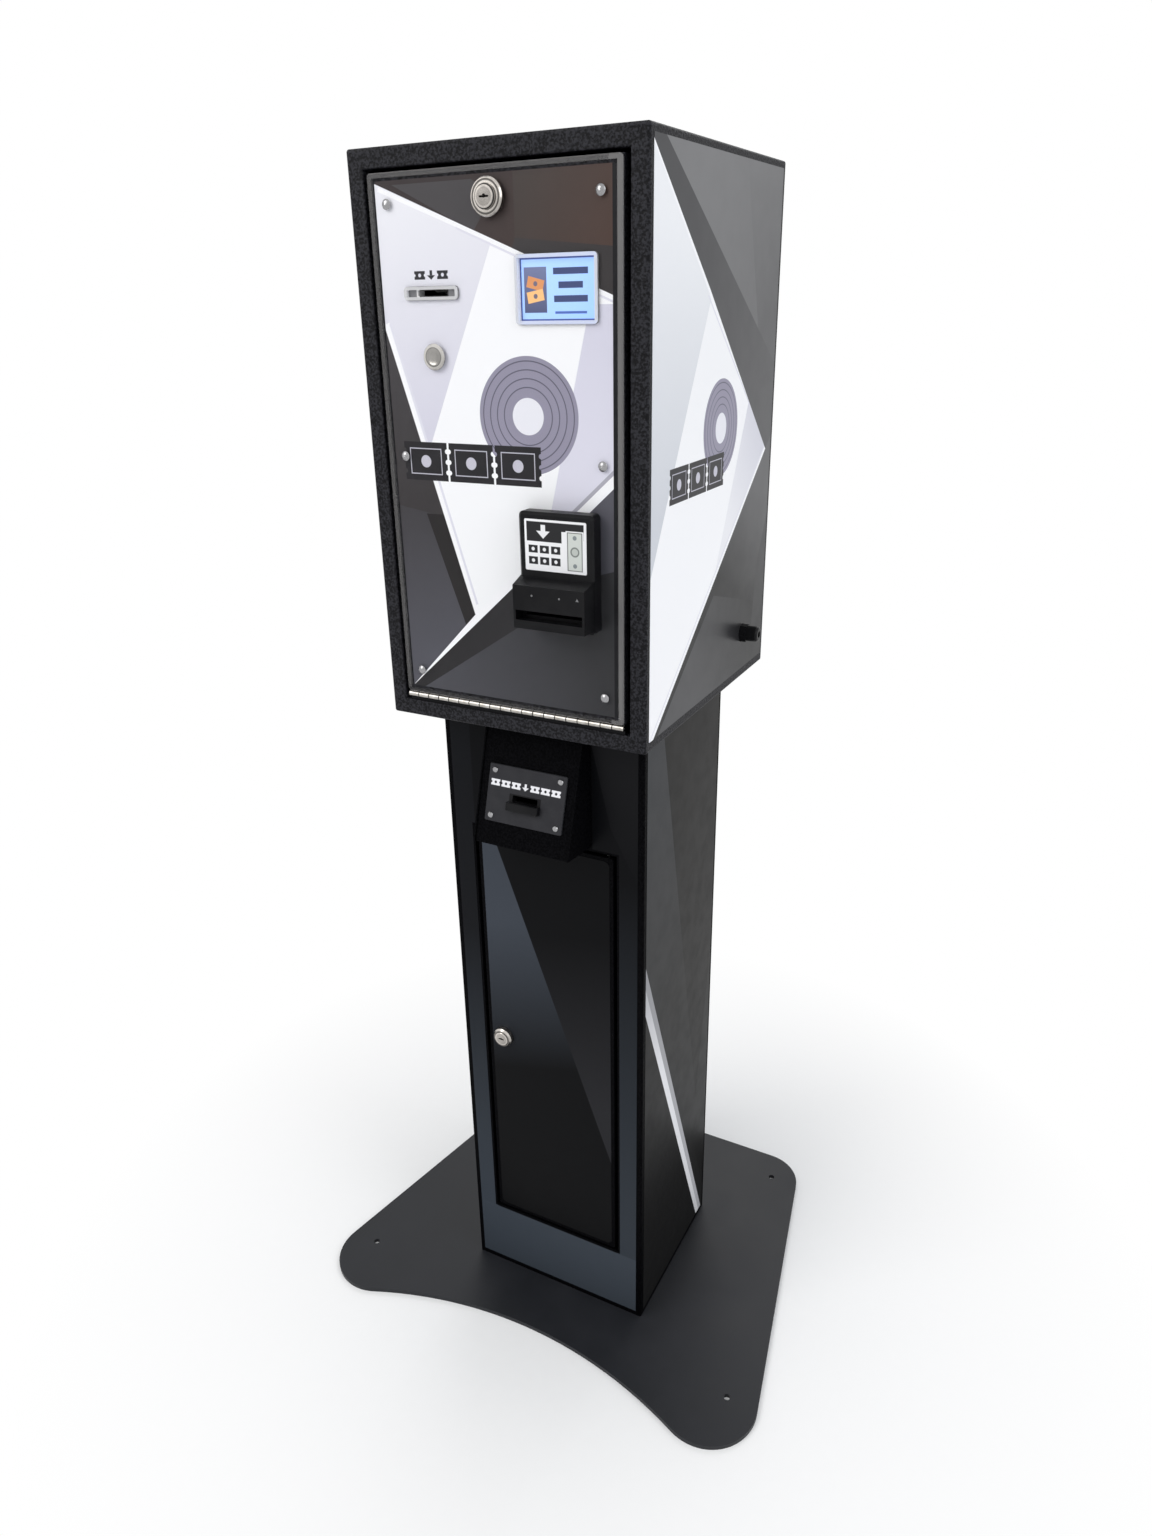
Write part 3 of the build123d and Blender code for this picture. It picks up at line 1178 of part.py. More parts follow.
def hood_plate(x, up, w, h, r, out0, out1):
    """A plate lying on the hood's sloping front."""
    plane = Plane(on_hood(x, up, out0), x_dir=(1, 0, 0), z_dir=HOOD_OUT)
    return extrude(plane * RectangleRounded(w, h, r), out1 - out0)


def hood_shell():
    """Sides, front and underside; the front lies a little behind the side edges."""
    half = HOOD_W / 2 - HOOD_T
    back = -HOOD_RIM - HOOD_T - SEAT
    shell = hood_prism(0, 0, HOOD_W / 2)
    shell -= hood_prism(0, 0, half) - hood_prism(0, HOOD_RIM, half)
    shell -= hood_prism(HOOD_T, HOOD_RIM + HOOD_T, half)
    shell -= hood_plate(0, SNOUT2_UP, SNOUT2_W + 2 * SEAT, SNOUT2_H + 2 * SEAT, SNOUT2_R, back, 0)
    for x, up in inlet_screw_places():
        shell -= hood_bar(x, up, SCREW_R, back, 0)
    return shell


def hood_bar(x, up, r, out0, out1):
    """A round bar square to the hood's front."""
    plane = Plane(on_hood(x, up, out0), x_dir=(1, 0, 0), z_dir=HOOD_OUT)
    return extrude(plane * Circle(r), out1 - out0)


def inlet_screw_places():
    return [(sx * INLET_SCREW_X, INLET_UP + sz * INLET_SCREW_Z) for sx in (-1, 1) for sz in (-1, 1)]


def inlet_plate():
    plate = hood_plate(0, INLET_UP, INLET_W, INLET_H, INLET_R, -HOOD_RIM, INLET_T - HOOD_RIM)
    plate = chamfer(plate.faces().sort_by(lambda f: f.center().dot(HOOD_OUT))[-1].edges(), INLET_BEVEL)
    plate -= hood_plate(0, SNOUT2_UP, SNOUT2_W, SNOUT2_H, SNOUT2_R, -HOOD_RIM, INLET_T - HOOD_RIM)
    for x, up in inlet_screw_places():
        plate -= hood_bar(x, up, SCREW_R, -HOOD_RIM, INLET_T - HOOD_RIM)
    return plate


def inlet_snout():
    """A short mouth through the plate, with a lip under its slot."""
    out = INLET_T - HOOD_RIM
    back = -HOOD_RIM - HOOD_T - SNOUT2_BACK
    front = out + SNOUT2_OUT
    snout = hood_plate(0, SNOUT2_UP, SNOUT2_W, SNOUT2_H, SNOUT2_R, back, out)
    slot_up = SNOUT2_UP + SNOUT2_H / 2 - SNOUT2_WALL - SNOUT2_SLOT_H / 2
    lip_h = SNOUT2_H - SNOUT2_WALL - SNOUT2_SLOT_H
    lip = hood_plate(0, SNOUT2_UP - SNOUT2_H / 2 + lip_h / 2, SNOUT2_W, lip_h, SNOUT2_R, out, front)
    lip = chamfer(lip.faces().sort_by(lambda face: face.center().dot(HOOD_OUT))[-1].edges(), SNOUT2_BEVEL)
    slot = hood_plate(0, slot_up, SNOUT2_SLOT_W, SNOUT2_SLOT_H, SNOUT2_R, back, front)
    return snout + lip - slot


def inlet_screws():
    screws = []
    face = INLET_T - HOOD_RIM
    for x, up in inlet_screw_places():
        head = hood_bar(x, up, INLET_HEAD_R, face, face + INLET_HEAD_H)
        head = chamfer(head.edges().sort_by(lambda e: e.center().dot(HOOD_OUT))[-1], INLET_HEAD_BEVEL)
        screws.append(head + hood_bar(x, up, SCREW_R, -HOOD_RIM - HOOD_T - SCREW_END, face))
    return screws


def chute_prism(rise, half):
    """The chute's slanting side view with some width, its floor raised by rise."""
    fall = tan(radians(CHUTE_SLOPE))
    sill = WINDOW_LOW + SEAT + fall * WALL + rise
    front_low = sill + fall * CHUTE_IN_HOOD
    inside = COL_FLANGE_W + BIN_ROOM + CHUTE_OVER_BIN
    back_low = sill - fall * inside
    plane = Plane((-half, 0, 0), x_dir=(0, 1, 0), z_dir=(1, 0, 0))
    corners = [
        (COL_FACE - CHUTE_IN_HOOD, front_low),
        (COL_FACE + inside, back_low),
        (COL_FACE + inside, back_low + CHUTE_SIDE),
        (COL_FACE - CHUTE_IN_HOOD, front_low + CHUTE_SIDE),
    ]
    return extrude(plane * make_face(Polyline(*corners, close=True)), 2 * half)


def ticket_chute():
    """A sloping trough from the hood, through the column's front, to above the bin."""
    half = WINDOW_W / 2 - SEAT
    return chute_prism(0, half) - chute_prism(CHUTE_T, half - CHUTE_T)


# Bin
def collection_bin():
    """An open box that stands on the base plate inside the column."""
    x = BIN_W / 2
    y = COL_Y
    d = BIN_D / 2
    low = COL_FLOOR
    high = low + BIN_H
    tub = block(-x, x, y - d, y + d, low, high)
    tub = fillet(tub.edges().filter_by(Axis.Z), BEND_R)
    tub -= block(-x + BIN_WALL, x - BIN_WALL, y - d + BIN_WALL, y + d - BIN_WALL, low + BIN_WALL, high)
    z = high - BIN_GRIP_DROP
    return tub - slab(0, z, BIN_GRIP_W, BIN_GRIP_H, BIN_GRIP_R, y - d, y - d + BIN_WALL)


# Every node and its file
def build():
    os.makedirs("parts", exist_ok=True)
    save("base_plate", base_plate())
    save("base_screws", *base_screws())
    save("column", column())
    save("column_front_film", column_front_film())
    save("column_side_films", *column_side_films())
    save("face_frame", face_frame())
    save("cabinet_wrap", cabinet_wrap())
    save("cabinet_sides", *cabinet_sides())
    save("cabinet_side_films", *box_side_films())
    save("cabinet_bolts", *cabinet_bolts())
    save("hinge_frame_leaf", hinge_frame_leaf())
    save("hinge_pin", hinge_pin())
    save("hood_shell", hood_shell())
    save("inlet_plate", inlet_plate())
    save("inlet_snout", inlet_snout())
    save("inlet_screws", *inlet_screws())
    save("ticket_chute", ticket_chute())
    save("collection_bin", collection_bin())
    save("pivot_pins", *pivot_pins())
    save("gland_body", gland_body())
    save("gland_cap", gland_cap())
    save("gland_locknut", gland_locknut())
    save("power_supply", power_supply())
    save("ticket_tray", ticket_tray())
    save("ticket_stack", ticket_stack())
    save("door_panel", door_panel())
    save("door_print", door_print())
    save("acrylic_panel", acrylic_panel())
    save("acrylic_screws", *acrylic_screws())
    save("hinge_door_leaf", hinge_door_leaf())
    save("exit_rim", exit_rim())
    save("exit_mouth", exit_mouth())
    save("tear_bar", tear_bar())
    save("display_rim", display_rim())
    save("display_module", display_module())
    save("button_body", button_body())
    save("button_nut", button_nut())
    save("button_cap", button_cap())
    save("bill_mask", bill_mask())
    save("bill_validator", bill_validator())
    save("cash_box", cash_box())
    save("dispenser_chassis", chassis())
    save("feed_shaft", feed_shaft())
    save("feed_roller", feed_roller())
    save("roller_gear", roller_gear())
    save("pinch_roller", pinch_roller())
    save("motor_gear", motor_gear())
    save("dispenser_motor", motor())
    save("control_board", control_board())
    save("board_standoffs", *board_standoffs())
    front_head = (LOCK_FLANGE_R, LOCK_FLANGE_T, LOCK_PLUG_R, LOCK_PLUG_PROUD)
    save_lock("front_lock", 0, LOCK_Z, ACRYLIC_Y, DOOR_BACK, FRONT_CAM_Y, front_head, FRONT_CAM_REACH, 180)
    save("column_door", small_door())
    save("column_door_film", small_door_film())
    small_head = (SMALL_LOCK_FLANGE_R, SMALL_LOCK_FLANGE_T, SMALL_LOCK_PLUG_R, SMALL_LOCK_PLUG_PROUD)
    save_lock("column_lock", SMALL_LOCK_X, SMALL_Z, COL_FACE, COL_FACE + WALL, SMALL_CAM_Y, small_head,
              SMALL_CAM_REACH, 90)


build()
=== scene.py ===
from math import cos, pi, radians, sin

import bmesh
import bpy
from mathutils import Euler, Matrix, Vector


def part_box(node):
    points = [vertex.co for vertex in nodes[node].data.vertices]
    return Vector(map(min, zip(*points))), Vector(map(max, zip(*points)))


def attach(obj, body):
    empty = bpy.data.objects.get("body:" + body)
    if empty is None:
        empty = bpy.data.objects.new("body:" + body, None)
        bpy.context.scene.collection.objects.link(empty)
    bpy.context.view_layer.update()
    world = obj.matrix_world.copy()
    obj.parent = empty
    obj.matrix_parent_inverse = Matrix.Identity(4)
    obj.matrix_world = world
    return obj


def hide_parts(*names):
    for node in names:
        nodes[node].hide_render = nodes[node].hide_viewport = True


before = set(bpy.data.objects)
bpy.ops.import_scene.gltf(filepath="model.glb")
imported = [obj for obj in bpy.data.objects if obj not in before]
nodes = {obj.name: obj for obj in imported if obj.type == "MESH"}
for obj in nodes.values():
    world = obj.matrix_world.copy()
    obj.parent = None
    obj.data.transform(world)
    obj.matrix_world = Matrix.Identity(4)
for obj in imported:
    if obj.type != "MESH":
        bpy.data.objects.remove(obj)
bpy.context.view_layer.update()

# Camera, solved from the photo: its place in metres, its turn in degrees, its lens and sensor in millimetres
CAMERA_PLACE = (0.606569, -1.167273, 1.366782)
CAMERA_TURN = (66.7628, 1.03459, 27.80125)
LENS, SENSOR = 25.4706, 36.0

camera_data = bpy.data.cameras.new("camera")
camera = bpy.data.objects.new("camera", camera_data)
bpy.context.scene.collection.objects.link(camera)
camera.location = CAMERA_PLACE
camera.rotation_euler = Euler([radians(angle) for angle in CAMERA_TURN], "XYZ")
camera_data.sensor_fit = "AUTO"
camera_data.sensor_width = SENSOR
camera_data.lens = LENS
camera_data.clip_start = 0.01
camera_data.clip_end = 200.0
bpy.context.scene.camera = camera
bpy.context.scene.view_settings.view_transform = "Standard"


# Places on the CAD model, in metres
def middle(name):
    low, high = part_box(name)
    return (low + high) / 2


print_low, print_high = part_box("door_print")
cover_low, cover_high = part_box("acrylic_panel")
mask_low, mask_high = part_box("bill_mask")
lock_at = middle("front_lock_plug")
small_lock_at = middle("column_lock_plug")
button_at = middle("button_cap")
exit_at = middle("exit_rim")
screen_at = middle("display_rim")

# How wide the edge of a printed field is, and how far a field reaches past its sheet
SOFT = 0.0004
OVERLAP = 0.001


# A small painter for graphics drawn in metres on a flat face, on the axes x and z or y and z
class Painter:
    def __init__(self, name, across="x"):
        self.mat = bpy.data.materials.new(name)
        self.mat.use_nodes = True
        self.tree = self.mat.node_tree
        self.tree.nodes.clear()
        self.out = self.tree.nodes.new("ShaderNodeOutputMaterial")
        self.coords = self.tree.nodes.new("ShaderNodeTexCoord").outputs["Object"]
        self.across = across
        flat = self.node("ShaderNodeVectorMath", operation="MULTIPLY")
        self.link(self.coords, flat.inputs[0])
        flat.inputs[1].default_value = (1, 0, 1) if across == "x" else (0, 1, 1)
        self.flat = flat.outputs[0]

    def node(self, kind, **settings):
        made = self.tree.nodes.new(kind)
        for key, value in settings.items():
            setattr(made, key, value)
        return made

    def link(self, a, b):
        self.tree.links.new(a, b)

    def put(self, value, socket):
        if isinstance(value, bpy.types.NodeSocket):
            self.link(value, socket)
        else:
            socket.default_value = value

    def put_colour(self, value, socket):
        self.put(value if isinstance(value, bpy.types.NodeSocket) else (*value, 1), socket)

    def math(self, operation, *values, clamp=False):
        made = self.node("ShaderNodeMath", operation=operation, use_clamp=clamp)
        for i, value in enumerate(values):
            self.put(value, made.inputs[i])
        return made.outputs[0]

    def split(self, vector):
        made = self.node("ShaderNodeSeparateXYZ")
        self.link(vector, made.inputs[0])
        return made.outputs

    def place(self, u, v):
        return Vector((u, 0, v)) if self.across == "x" else Vector((0, u, v))

    def dot(self, way):
        made = self.node("ShaderNodeVectorMath", operation="DOT_PRODUCT")
        self.link(self.flat, made.inputs[0])
        made.inputs[1].default_value = way
        return made.outputs["Value"]

    def along(self, p, q):
        """How far along the line from p to q a point lies: 0 at p, 1 at q."""
        start, way = self.place(*p), self.place(*q) - self.place(*p)
        way = way / way.length_squared
        return self.math("SUBTRACT", self.dot(way), start.dot(way), clamp=True)

    def side(self, p, q):
        """White on the left of the line from p to q."""
        way = Vector((q[0] - p[0], q[1] - p[1])).normalized()
        normal = self.place(-way.y, way.x)
        start = normal.dot(self.place(*p))
        return self.math("MULTIPLY_ADD", self.dot(normal), 1 / SOFT, 0.5 - start / SOFT, clamp=True)

    def shape(self, *points):
        """White inside a convex outline whose points run anticlockwise."""
        mask = None
        for p, q in zip(points, points[1:] + points[:1]):
            edge = self.side(p, q)
            mask = edge if mask is None else self.both(mask, edge)
        return mask

    def bar(self, centre, w, h, turn=0.0):
        """White inside a rectangle turned by some degrees."""
        c, s = cos(radians(turn)), sin(radians(turn))
        corners = [(-w / 2, -h / 2), (w / 2, -h / 2), (w / 2, h / 2), (-w / 2, h / 2)]
        return self.shape(*[(centre[0] + x * c - y * s, centre[1] + x * s + y * c) for x, y in corners])

    def line(self, p, q, width):
        """White along a stripe that runs from p to q."""
        way = Vector((q[0] - p[0], q[1] - p[1])).normalized()
        x, y = -way.y * width / 2, way.x * width / 2
        return self.shape((p[0] - x, p[1] - y), (q[0] - x, q[1] - y), (q[0] + x, q[1] + y), (p[0] + x, p[1] + y))

    def distance(self, centre):
        dist = self.node("ShaderNodeVectorMath", operation="DISTANCE")
        self.link(self.flat, dist.inputs[0])
        dist.inputs[1].default_value = self.place(*centre)
        return dist.outputs["Value"]

    def disc(self, centre, radius, soft=SOFT):
        return self.math("MULTIPLY_ADD", self.distance(centre), -1 / soft, 0.5 + radius / soft, clamp=True)

    def ring(self, centre, radius, width):
        return self.without(self.disc(centre, radius + width / 2), self.disc(centre, radius - width / 2))

    def both(self, a, b):
        return self.math("MINIMUM", a, b)

    def either(self, a, b):
        return self.math("MAXIMUM", a, b)

    def without(self, a, b):
        return self.math("SUBTRACT", a, b, clamp=True)

    def blend(self, amount, a, b):
        """Colour a where amount is 0 and colour b where it is 1."""
        mix = self.node("ShaderNodeMix", data_type="RGBA")
        self.put(amount, mix.inputs[0])
        self.put_colour(a, mix.inputs[6])
        self.put_colour(b, mix.inputs[7])
        return mix.outputs[2]

    def fade(self, p, q, a, b):
        return self.blend(self.along(p, q), a, b)

    def facets(self, colour, area, *rows):
        """Lay facets over a colour, inside an area if there is one.

        A row holds an outline and then either one tone or a fade: two points and the tone at each of them.
        An outline of two points is all that lies left of that line, and None is the whole area.
        """
        for outline, *tones in rows:
            mask = area
            if outline:
                mask = self.side(*outline) if len(outline) == 2 else self.shape(*outline)
                mask = self.both(area, mask) if area else mask
            colour = self.blend(mask, colour, tones[0] if len(tones) == 1 else self.fade(*tones))
        return colour

    def noise(self, scale, detail=3.0, rough=0.5, stretch=None):
        made = self.node("ShaderNodeTexNoise")
        made.inputs["Scale"].default_value = scale
        made.inputs["Detail"].default_value = detail
        made.inputs["Roughness"].default_value = rough
        vector = self.coords
        if stretch:
            shaped = self.node("ShaderNodeVectorMath", operation="MULTIPLY")
            self.link(self.coords, shaped.inputs[0])
            shaped.inputs[1].default_value = stretch
            vector = shaped.outputs[0]
        self.link(vector, made.inputs["Vector"])
        return made.outputs[0]

    def span(self, value, low, high, to_low, to_high):
        made = self.node("ShaderNodeMapRange")
        self.link(value, made.inputs[0])
        for i, number in enumerate((low, high, to_low, to_high), 1):
            made.inputs[i].default_value = number
        return made.outputs[0]

    def vary(self, noise, low, high):
        """A value that follows a noise from low to high."""
        return self.span(noise, 0.3, 0.7, low, high)

    def cloud(self, noise, tone, tone_2):
        """A colour that follows a noise from one tone to another."""
        return self.blend(self.span(noise, 0.35, 0.65, 0.0, 1.0), tone, tone_2)

    def bump(self, height, strength, deep):
        made = self.node("ShaderNodeBump")
        made.inputs["Strength"].default_value = strength
        made.inputs["Distance"].default_value = deep
        self.link(height, made.inputs["Height"])
        return made.outputs[0]

    def finish(self, colour, rough, metal=0.0, normal=None, coat=0.0, specular=0.5, glow=None, glow_strength=0.0,
               flat=False):
        shader = self.node("ShaderNodeBsdfPrincipled")
        self.put_colour(colour, shader.inputs["Base Color"])
        self.put(rough, shader.inputs["Roughness"])
        shader.inputs["Metallic"].default_value = metal
        shader.inputs["Coat Weight"].default_value = coat
        shader.inputs["Coat Roughness"].default_value = 0.05
        shader.inputs["Specular IOR Level"].default_value = specular
        if normal:
            self.link(normal, shader.inputs["Normal"])
        elif flat:
            self.link(self.node("ShaderNodeNewGeometry").outputs["True Normal"], shader.inputs["Normal"])
        if glow is not None:
            self.put(glow, shader.inputs["Emission Color"])
            shader.inputs["Emission Strength"].default_value = glow_strength
        self.link(shader.outputs[0], self.out.inputs["Surface"])
        return self.mat

    def film(self, colour, smooth, rough, specular):
        """A printed film: flat, with a roughness that drifts between two values."""
        return self.finish(colour, self.vary(self.noise(40), smooth, rough), specular=specular, flat=True)


def dress(mat, *names):
    for name in names:
        for part in nodes[name].material_slots:
            part.material = mat


# Tones of the printed sheets
WHITE = (0.94, 0.94, 0.965)
PALE = (0.74, 0.735, 0.82)
MIST = (0.82, 0.82, 0.88)
DUSK = (0.56, 0.55, 0.63)
CHARCOAL = (0.035, 0.035, 0.04)
SOOT = (0.010, 0.010, 0.012)
# A warm brown: painted reflection of the room in the clear cover, on the front sheet's dark upper corner
WARM_REFLECTION = (0.074, 0.046, 0.038)
TICKET = (0.30, 0.285, 0.37)
WINDING = (0.13, 0.125, 0.17)
STRIP = (0.024, 0.023, 0.026)


def ticket_roll(p, colour, at, size):
    """A plain roll of tickets, with a strip of three in front of its foot: discs, rings and bars only."""
    x, z = at
    colour = p.blend(p.disc(at, 0.043 * size), colour, TICKET)
    for i in range(4):
        colour = p.blend(p.ring(at, (0.0395 - 0.0062 * i) * size, 0.0009 * size), colour, WINDING)
    colour = p.blend(p.disc(at, 0.0135 * size), colour, MIST)
    for i in range(3):
        cx, cz = x - (0.0105 + 0.043 * i) * size, z - 0.037 * size
        ticket = p.bar((cx, cz), 0.0412 * size, 0.030 * size)
        for sx in (-1, 1):
            for sz in (-1, 0, 1):
                hole = p.disc((cx + sx * 0.0206 * size, cz + sz * 0.0082 * size), 0.0019 * size)
                ticket = p.without(ticket, hole)
        colour = p.blend(ticket, colour, STRIP)
        border = p.bar((cx, cz), 0.0305 * size, 0.0205 * size)
        border = p.without(border, p.bar((cx, cz), 0.0290 * size, 0.0190 * size))
        colour = p.blend(border, colour, DUSK)
        colour = p.blend(p.disc((cx, cz), 0.0048 * size), colour, DUSK)
    return colour


def ticket_row(p, colour, at, h, tone, hole, beside):
    """An arrow that points down, with some ticket signs of height h on each side of it."""
    x, z = at
    arrow = p.shape((x - h * 0.62, z - h * 0.02), (x, z - h * 0.55), (x + h * 0.62, z - h * 0.02))
    arrow = p.either(arrow, p.bar((x, z + h * 0.26), h * 0.40, h * 0.60))
    colour = p.blend(arrow, colour, tone)
    for i in range(beside):
        for sign in (-1, 1):
            cx = x + sign * h * (1.75 + 1.95 * i)
            ticket = p.bar((cx, z), h * 1.65, h)
            for side in (-1, 1):
                ticket = p.without(ticket, p.disc((cx + side * h * 0.825, z), h * 0.18))
            colour = p.blend(ticket, colour, tone)
            colour = p.blend(p.disc((cx, z), h * 0.22), colour, hole)
    return colour


def front_sheet():
    """Large pale facets between a dark upper corner, a dark left side and a dark foot."""
    p = Painter("front_print")
    left, right = print_low.x - OVERLAP, print_high.x + OVERLAP
    foot, top = print_low.z - OVERLAP, print_high.z + OVERLAP
    high_a, high_b = (-0.1337, 1.4770), (0.1337, 1.3695)
    left_a, left_b = (-0.1347, 1.3495), (-0.0415, 1.0504)
    low_a, low_b = (-0.1345, 0.9556), (0.1345, 1.2020)
    high_dark = p.side(high_a, high_b)
    left_dark = p.without(p.side(low_a, low_b), p.side(left_a, left_b))
    foot_dark = p.side(low_b, low_a)
    colour = p.fade((-0.06, 1.40), (0.02, 1.10), WHITE, (0.93, 0.935, 0.955))
    colour = p.facets(
        colour, None,
        (((left, top), (left, 1.200), (-0.0965, 1.2062), (0.0245, 1.4765)),
         (-0.12, 1.46), (-0.07, 1.25), (0.84, 0.84, 0.89), (0.67, 0.66, 0.76)),
        (((0.0560, 1.1640), (0.0560, 1.1300), (right, 1.1300), (right, 1.3640), (0.1045, 1.3640)),
         (0.13, 1.36), (0.08, 1.17), (0.66, 0.65, 0.76), (0.74, 0.73, 0.83)))
    # The dark upper corner is print; the warm brown that grows towards the right is a painted reflection of the room
    # in the cover
    colour = p.facets(
        colour, high_dark,
        (None, (-0.05, 1.47), (0.10, 1.40), (0.046, 0.038, 0.039), (0.064, 0.043, 0.038)),
        (((-0.112, 1.4745), (-0.020, 1.4300), (0.004, 1.4610), (-0.020, 1.4745)), (0.068, 0.064, 0.068)),
        (((0.020, 1.4080), (right, 1.3600), (right, 1.4120), (0.026, 1.4230)),
         (0.03, 1.41), (0.13, 1.39), (0.050, 0.046, 0.048), (0.042, 0.038, 0.039)),
        (((0.026, 1.4230), (right, 1.4120), (right, top), (0.026, top)),
         (0.03, 1.46), (0.13, 1.42), (0.060, 0.049, 0.046), WARM_REFLECTION))
    # The dark left side is print; its lift to a bluish grey towards the bottom is a painted reflection of the room in
    # the cover
    colour = p.facets(
        colour, left_dark,
        (None, (-0.11, 1.18), (-0.08, 1.00), (0.050, 0.047, 0.051), (0.090, 0.090, 0.108)),
        (((left, 1.360), (left, 1.165), (-0.070, 1.155), (-0.120, 1.330)),
         (-0.13, 1.32), (-0.09, 1.17), (0.062, 0.058, 0.062), (0.044, 0.040, 0.042)),
        (((-0.0975, 1.158), (-0.0520, 1.030), (-0.0400, 1.045), (-0.0740, 1.158)), (0.0220, 0.0200, 0.0205)))
    # The dark foot is print; its lift to a bluish grey at the left end is a painted reflection of the room in the
    # cover
    colour = p.facets(
        colour, foot_dark,
        (None, (-0.10, 0.965), (0.10, 1.03), (0.074, 0.074, 0.086), (0.036, 0.036, 0.039)),
        (((-0.1190, 0.9556), (0.0046, 1.0374)),
         (-0.05, 1.02), (0.06, 1.10), (0.026, 0.025, 0.027), (0.030, 0.029, 0.032)),
        (((0.050, 1.0900), (right, 1.1160), (right, 1.2040), (0.050, 1.1260)),
         (0.11, 1.20), (0.13, 1.12), (0.105, 0.103, 0.125), (0.080, 0.079, 0.094)))
    # Bright bands along the borders, some with a thin grey line
    dark = p.either(left_dark, high_dark)
    for a, b, wide, tone in (((-0.1310, 1.3490), (-0.0380, 1.0504), 0.0080, WHITE),
                             ((-0.1265, 1.3490), (-0.0385, 1.0630), 0.0028, PALE),
                             ((-0.1290, 1.4716), high_b, 0.0040, WHITE),
                             ((-0.0400, 1.4340), (0.1337, 1.3640), 0.0020, PALE)):
        colour = p.blend(p.without(p.line(a, b, wide), dark), colour, tone)
    band = p.shape(low_a, low_b, (right, 1.2175), (-0.0410, 1.0520))
    colour = p.blend(p.both(band, p.side(low_a, low_b)), colour, WHITE)
    colour = p.blend(p.line((0.0560, 1.1460), (0.1345, 1.2175), 0.0038), colour, (0.42, 0.41, 0.48))
    rim = right - 0.0052
    colour = p.blend(p.bar(((rim + right) / 2, (foot + top) / 2), right - rim, top - foot), colour, SOOT)
    # Signs over the ticket exit, and the large sign
    colour = ticket_row(p, colour, (exit_at.x, exit_at.z + 0.0165), 0.0078, CHARCOAL, PALE, 1)
    colour = ticket_roll(p, colour, (0.034, 1.262), 1.32)
    return p.film(colour, 0.36, 0.42, 0.16)


def side_sheet():
    """One broad pale arrow between dark corners."""
    p = Painter("side_print", "y")
    right, foot, top = 0.181, 0.929, 1.502
    high_a, mid, high_b = (-0.1785, 1.5030), (-0.0361, 1.3745), (0.1815, 1.1905)
    low_a, low_b = (-0.1755, 0.9255), (0.1815, 1.2130)
    colour = p.fade((-0.06, 1.48), (0.16, 1.34), (0.175, 0.175, 0.180), (0.120, 0.120, 0.124))
    colour = p.facets(
        colour, None,
        (((0.060, top), (0.115, 1.335), (right, 1.280), (right, top)),
         (0.07, 1.49), (0.17, 1.36), (0.150, 0.150, 0.155), (0.092, 0.092, 0.096)),
        (((0.1790, 1.2950), (-0.1560, 1.5030)),
         (-0.10, 1.45), (0.16, 1.26), (0.052, 0.052, 0.056), (0.082, 0.082, 0.086)))
    # Foot: grey close to the arrow, black across the middle, grey again below
    colour = p.facets(
        colour, p.side(low_b, low_a),
        (None, (0.13, 1.16), (0.07, 1.04), (0.110, 0.110, 0.114), (0.010, 0.010, 0.011)),
        (((-0.160, foot), (right, foot), (right, 1.000), (0.000, 1.050)),
         (0.12, 1.02), (-0.06, 0.95), (0.008, 0.008, 0.009), (0.062, 0.062, 0.066)),
        (((0.130, foot), (right, foot), (right, 1.120), (0.150, 1.060)),
         (0.17, 1.10), (0.15, 0.95), (0.055, 0.055, 0.058), (0.010, 0.010, 0.011)))
    # Pale arrow
    pale = p.both(p.without(1.0, p.side(high_a, mid)), p.without(1.0, p.side(mid, high_b)))
    pale = p.both(pale, p.side(low_a, low_b))
    colour = p.facets(
        colour, pale,
        (None, (-0.16, 1.35), (0.05, 1.15), (0.92, 0.925, 0.945), WHITE),
        (((-0.1815, 1.1040), (-0.0300, 1.3740)),
         (-0.15, 1.44), (-0.16, 1.16), (0.86, 0.87, 0.90), (0.62, 0.64, 0.69)),
        (((0.1000, 1.2700), (-0.0060, 1.0600)),
         (0.04, 1.13), (0.14, 1.20), (0.84, 0.84, 0.88), (0.68, 0.68, 0.75)))
    for a, b, wide, tone in ((mid, (-0.1850, 1.5030), 0.0080, WHITE),
                             (high_b, mid, 0.0100, WHITE),
                             (low_a, low_b, 0.0090, WHITE),
                             ((0.1720, 1.1900), (-0.0420, 1.3700), 0.0018, PALE),
                             ((-0.1800, 0.9300), (0.1760, 1.2160), 0.0018, PALE)):
        colour = p.blend(p.both(p.line(a, b, wide), pale), colour, tone)
    colour = ticket_roll(p, colour, (0.006, 1.236), 1.2)
    return p.film(colour, 0.28, 0.34, 0.12)


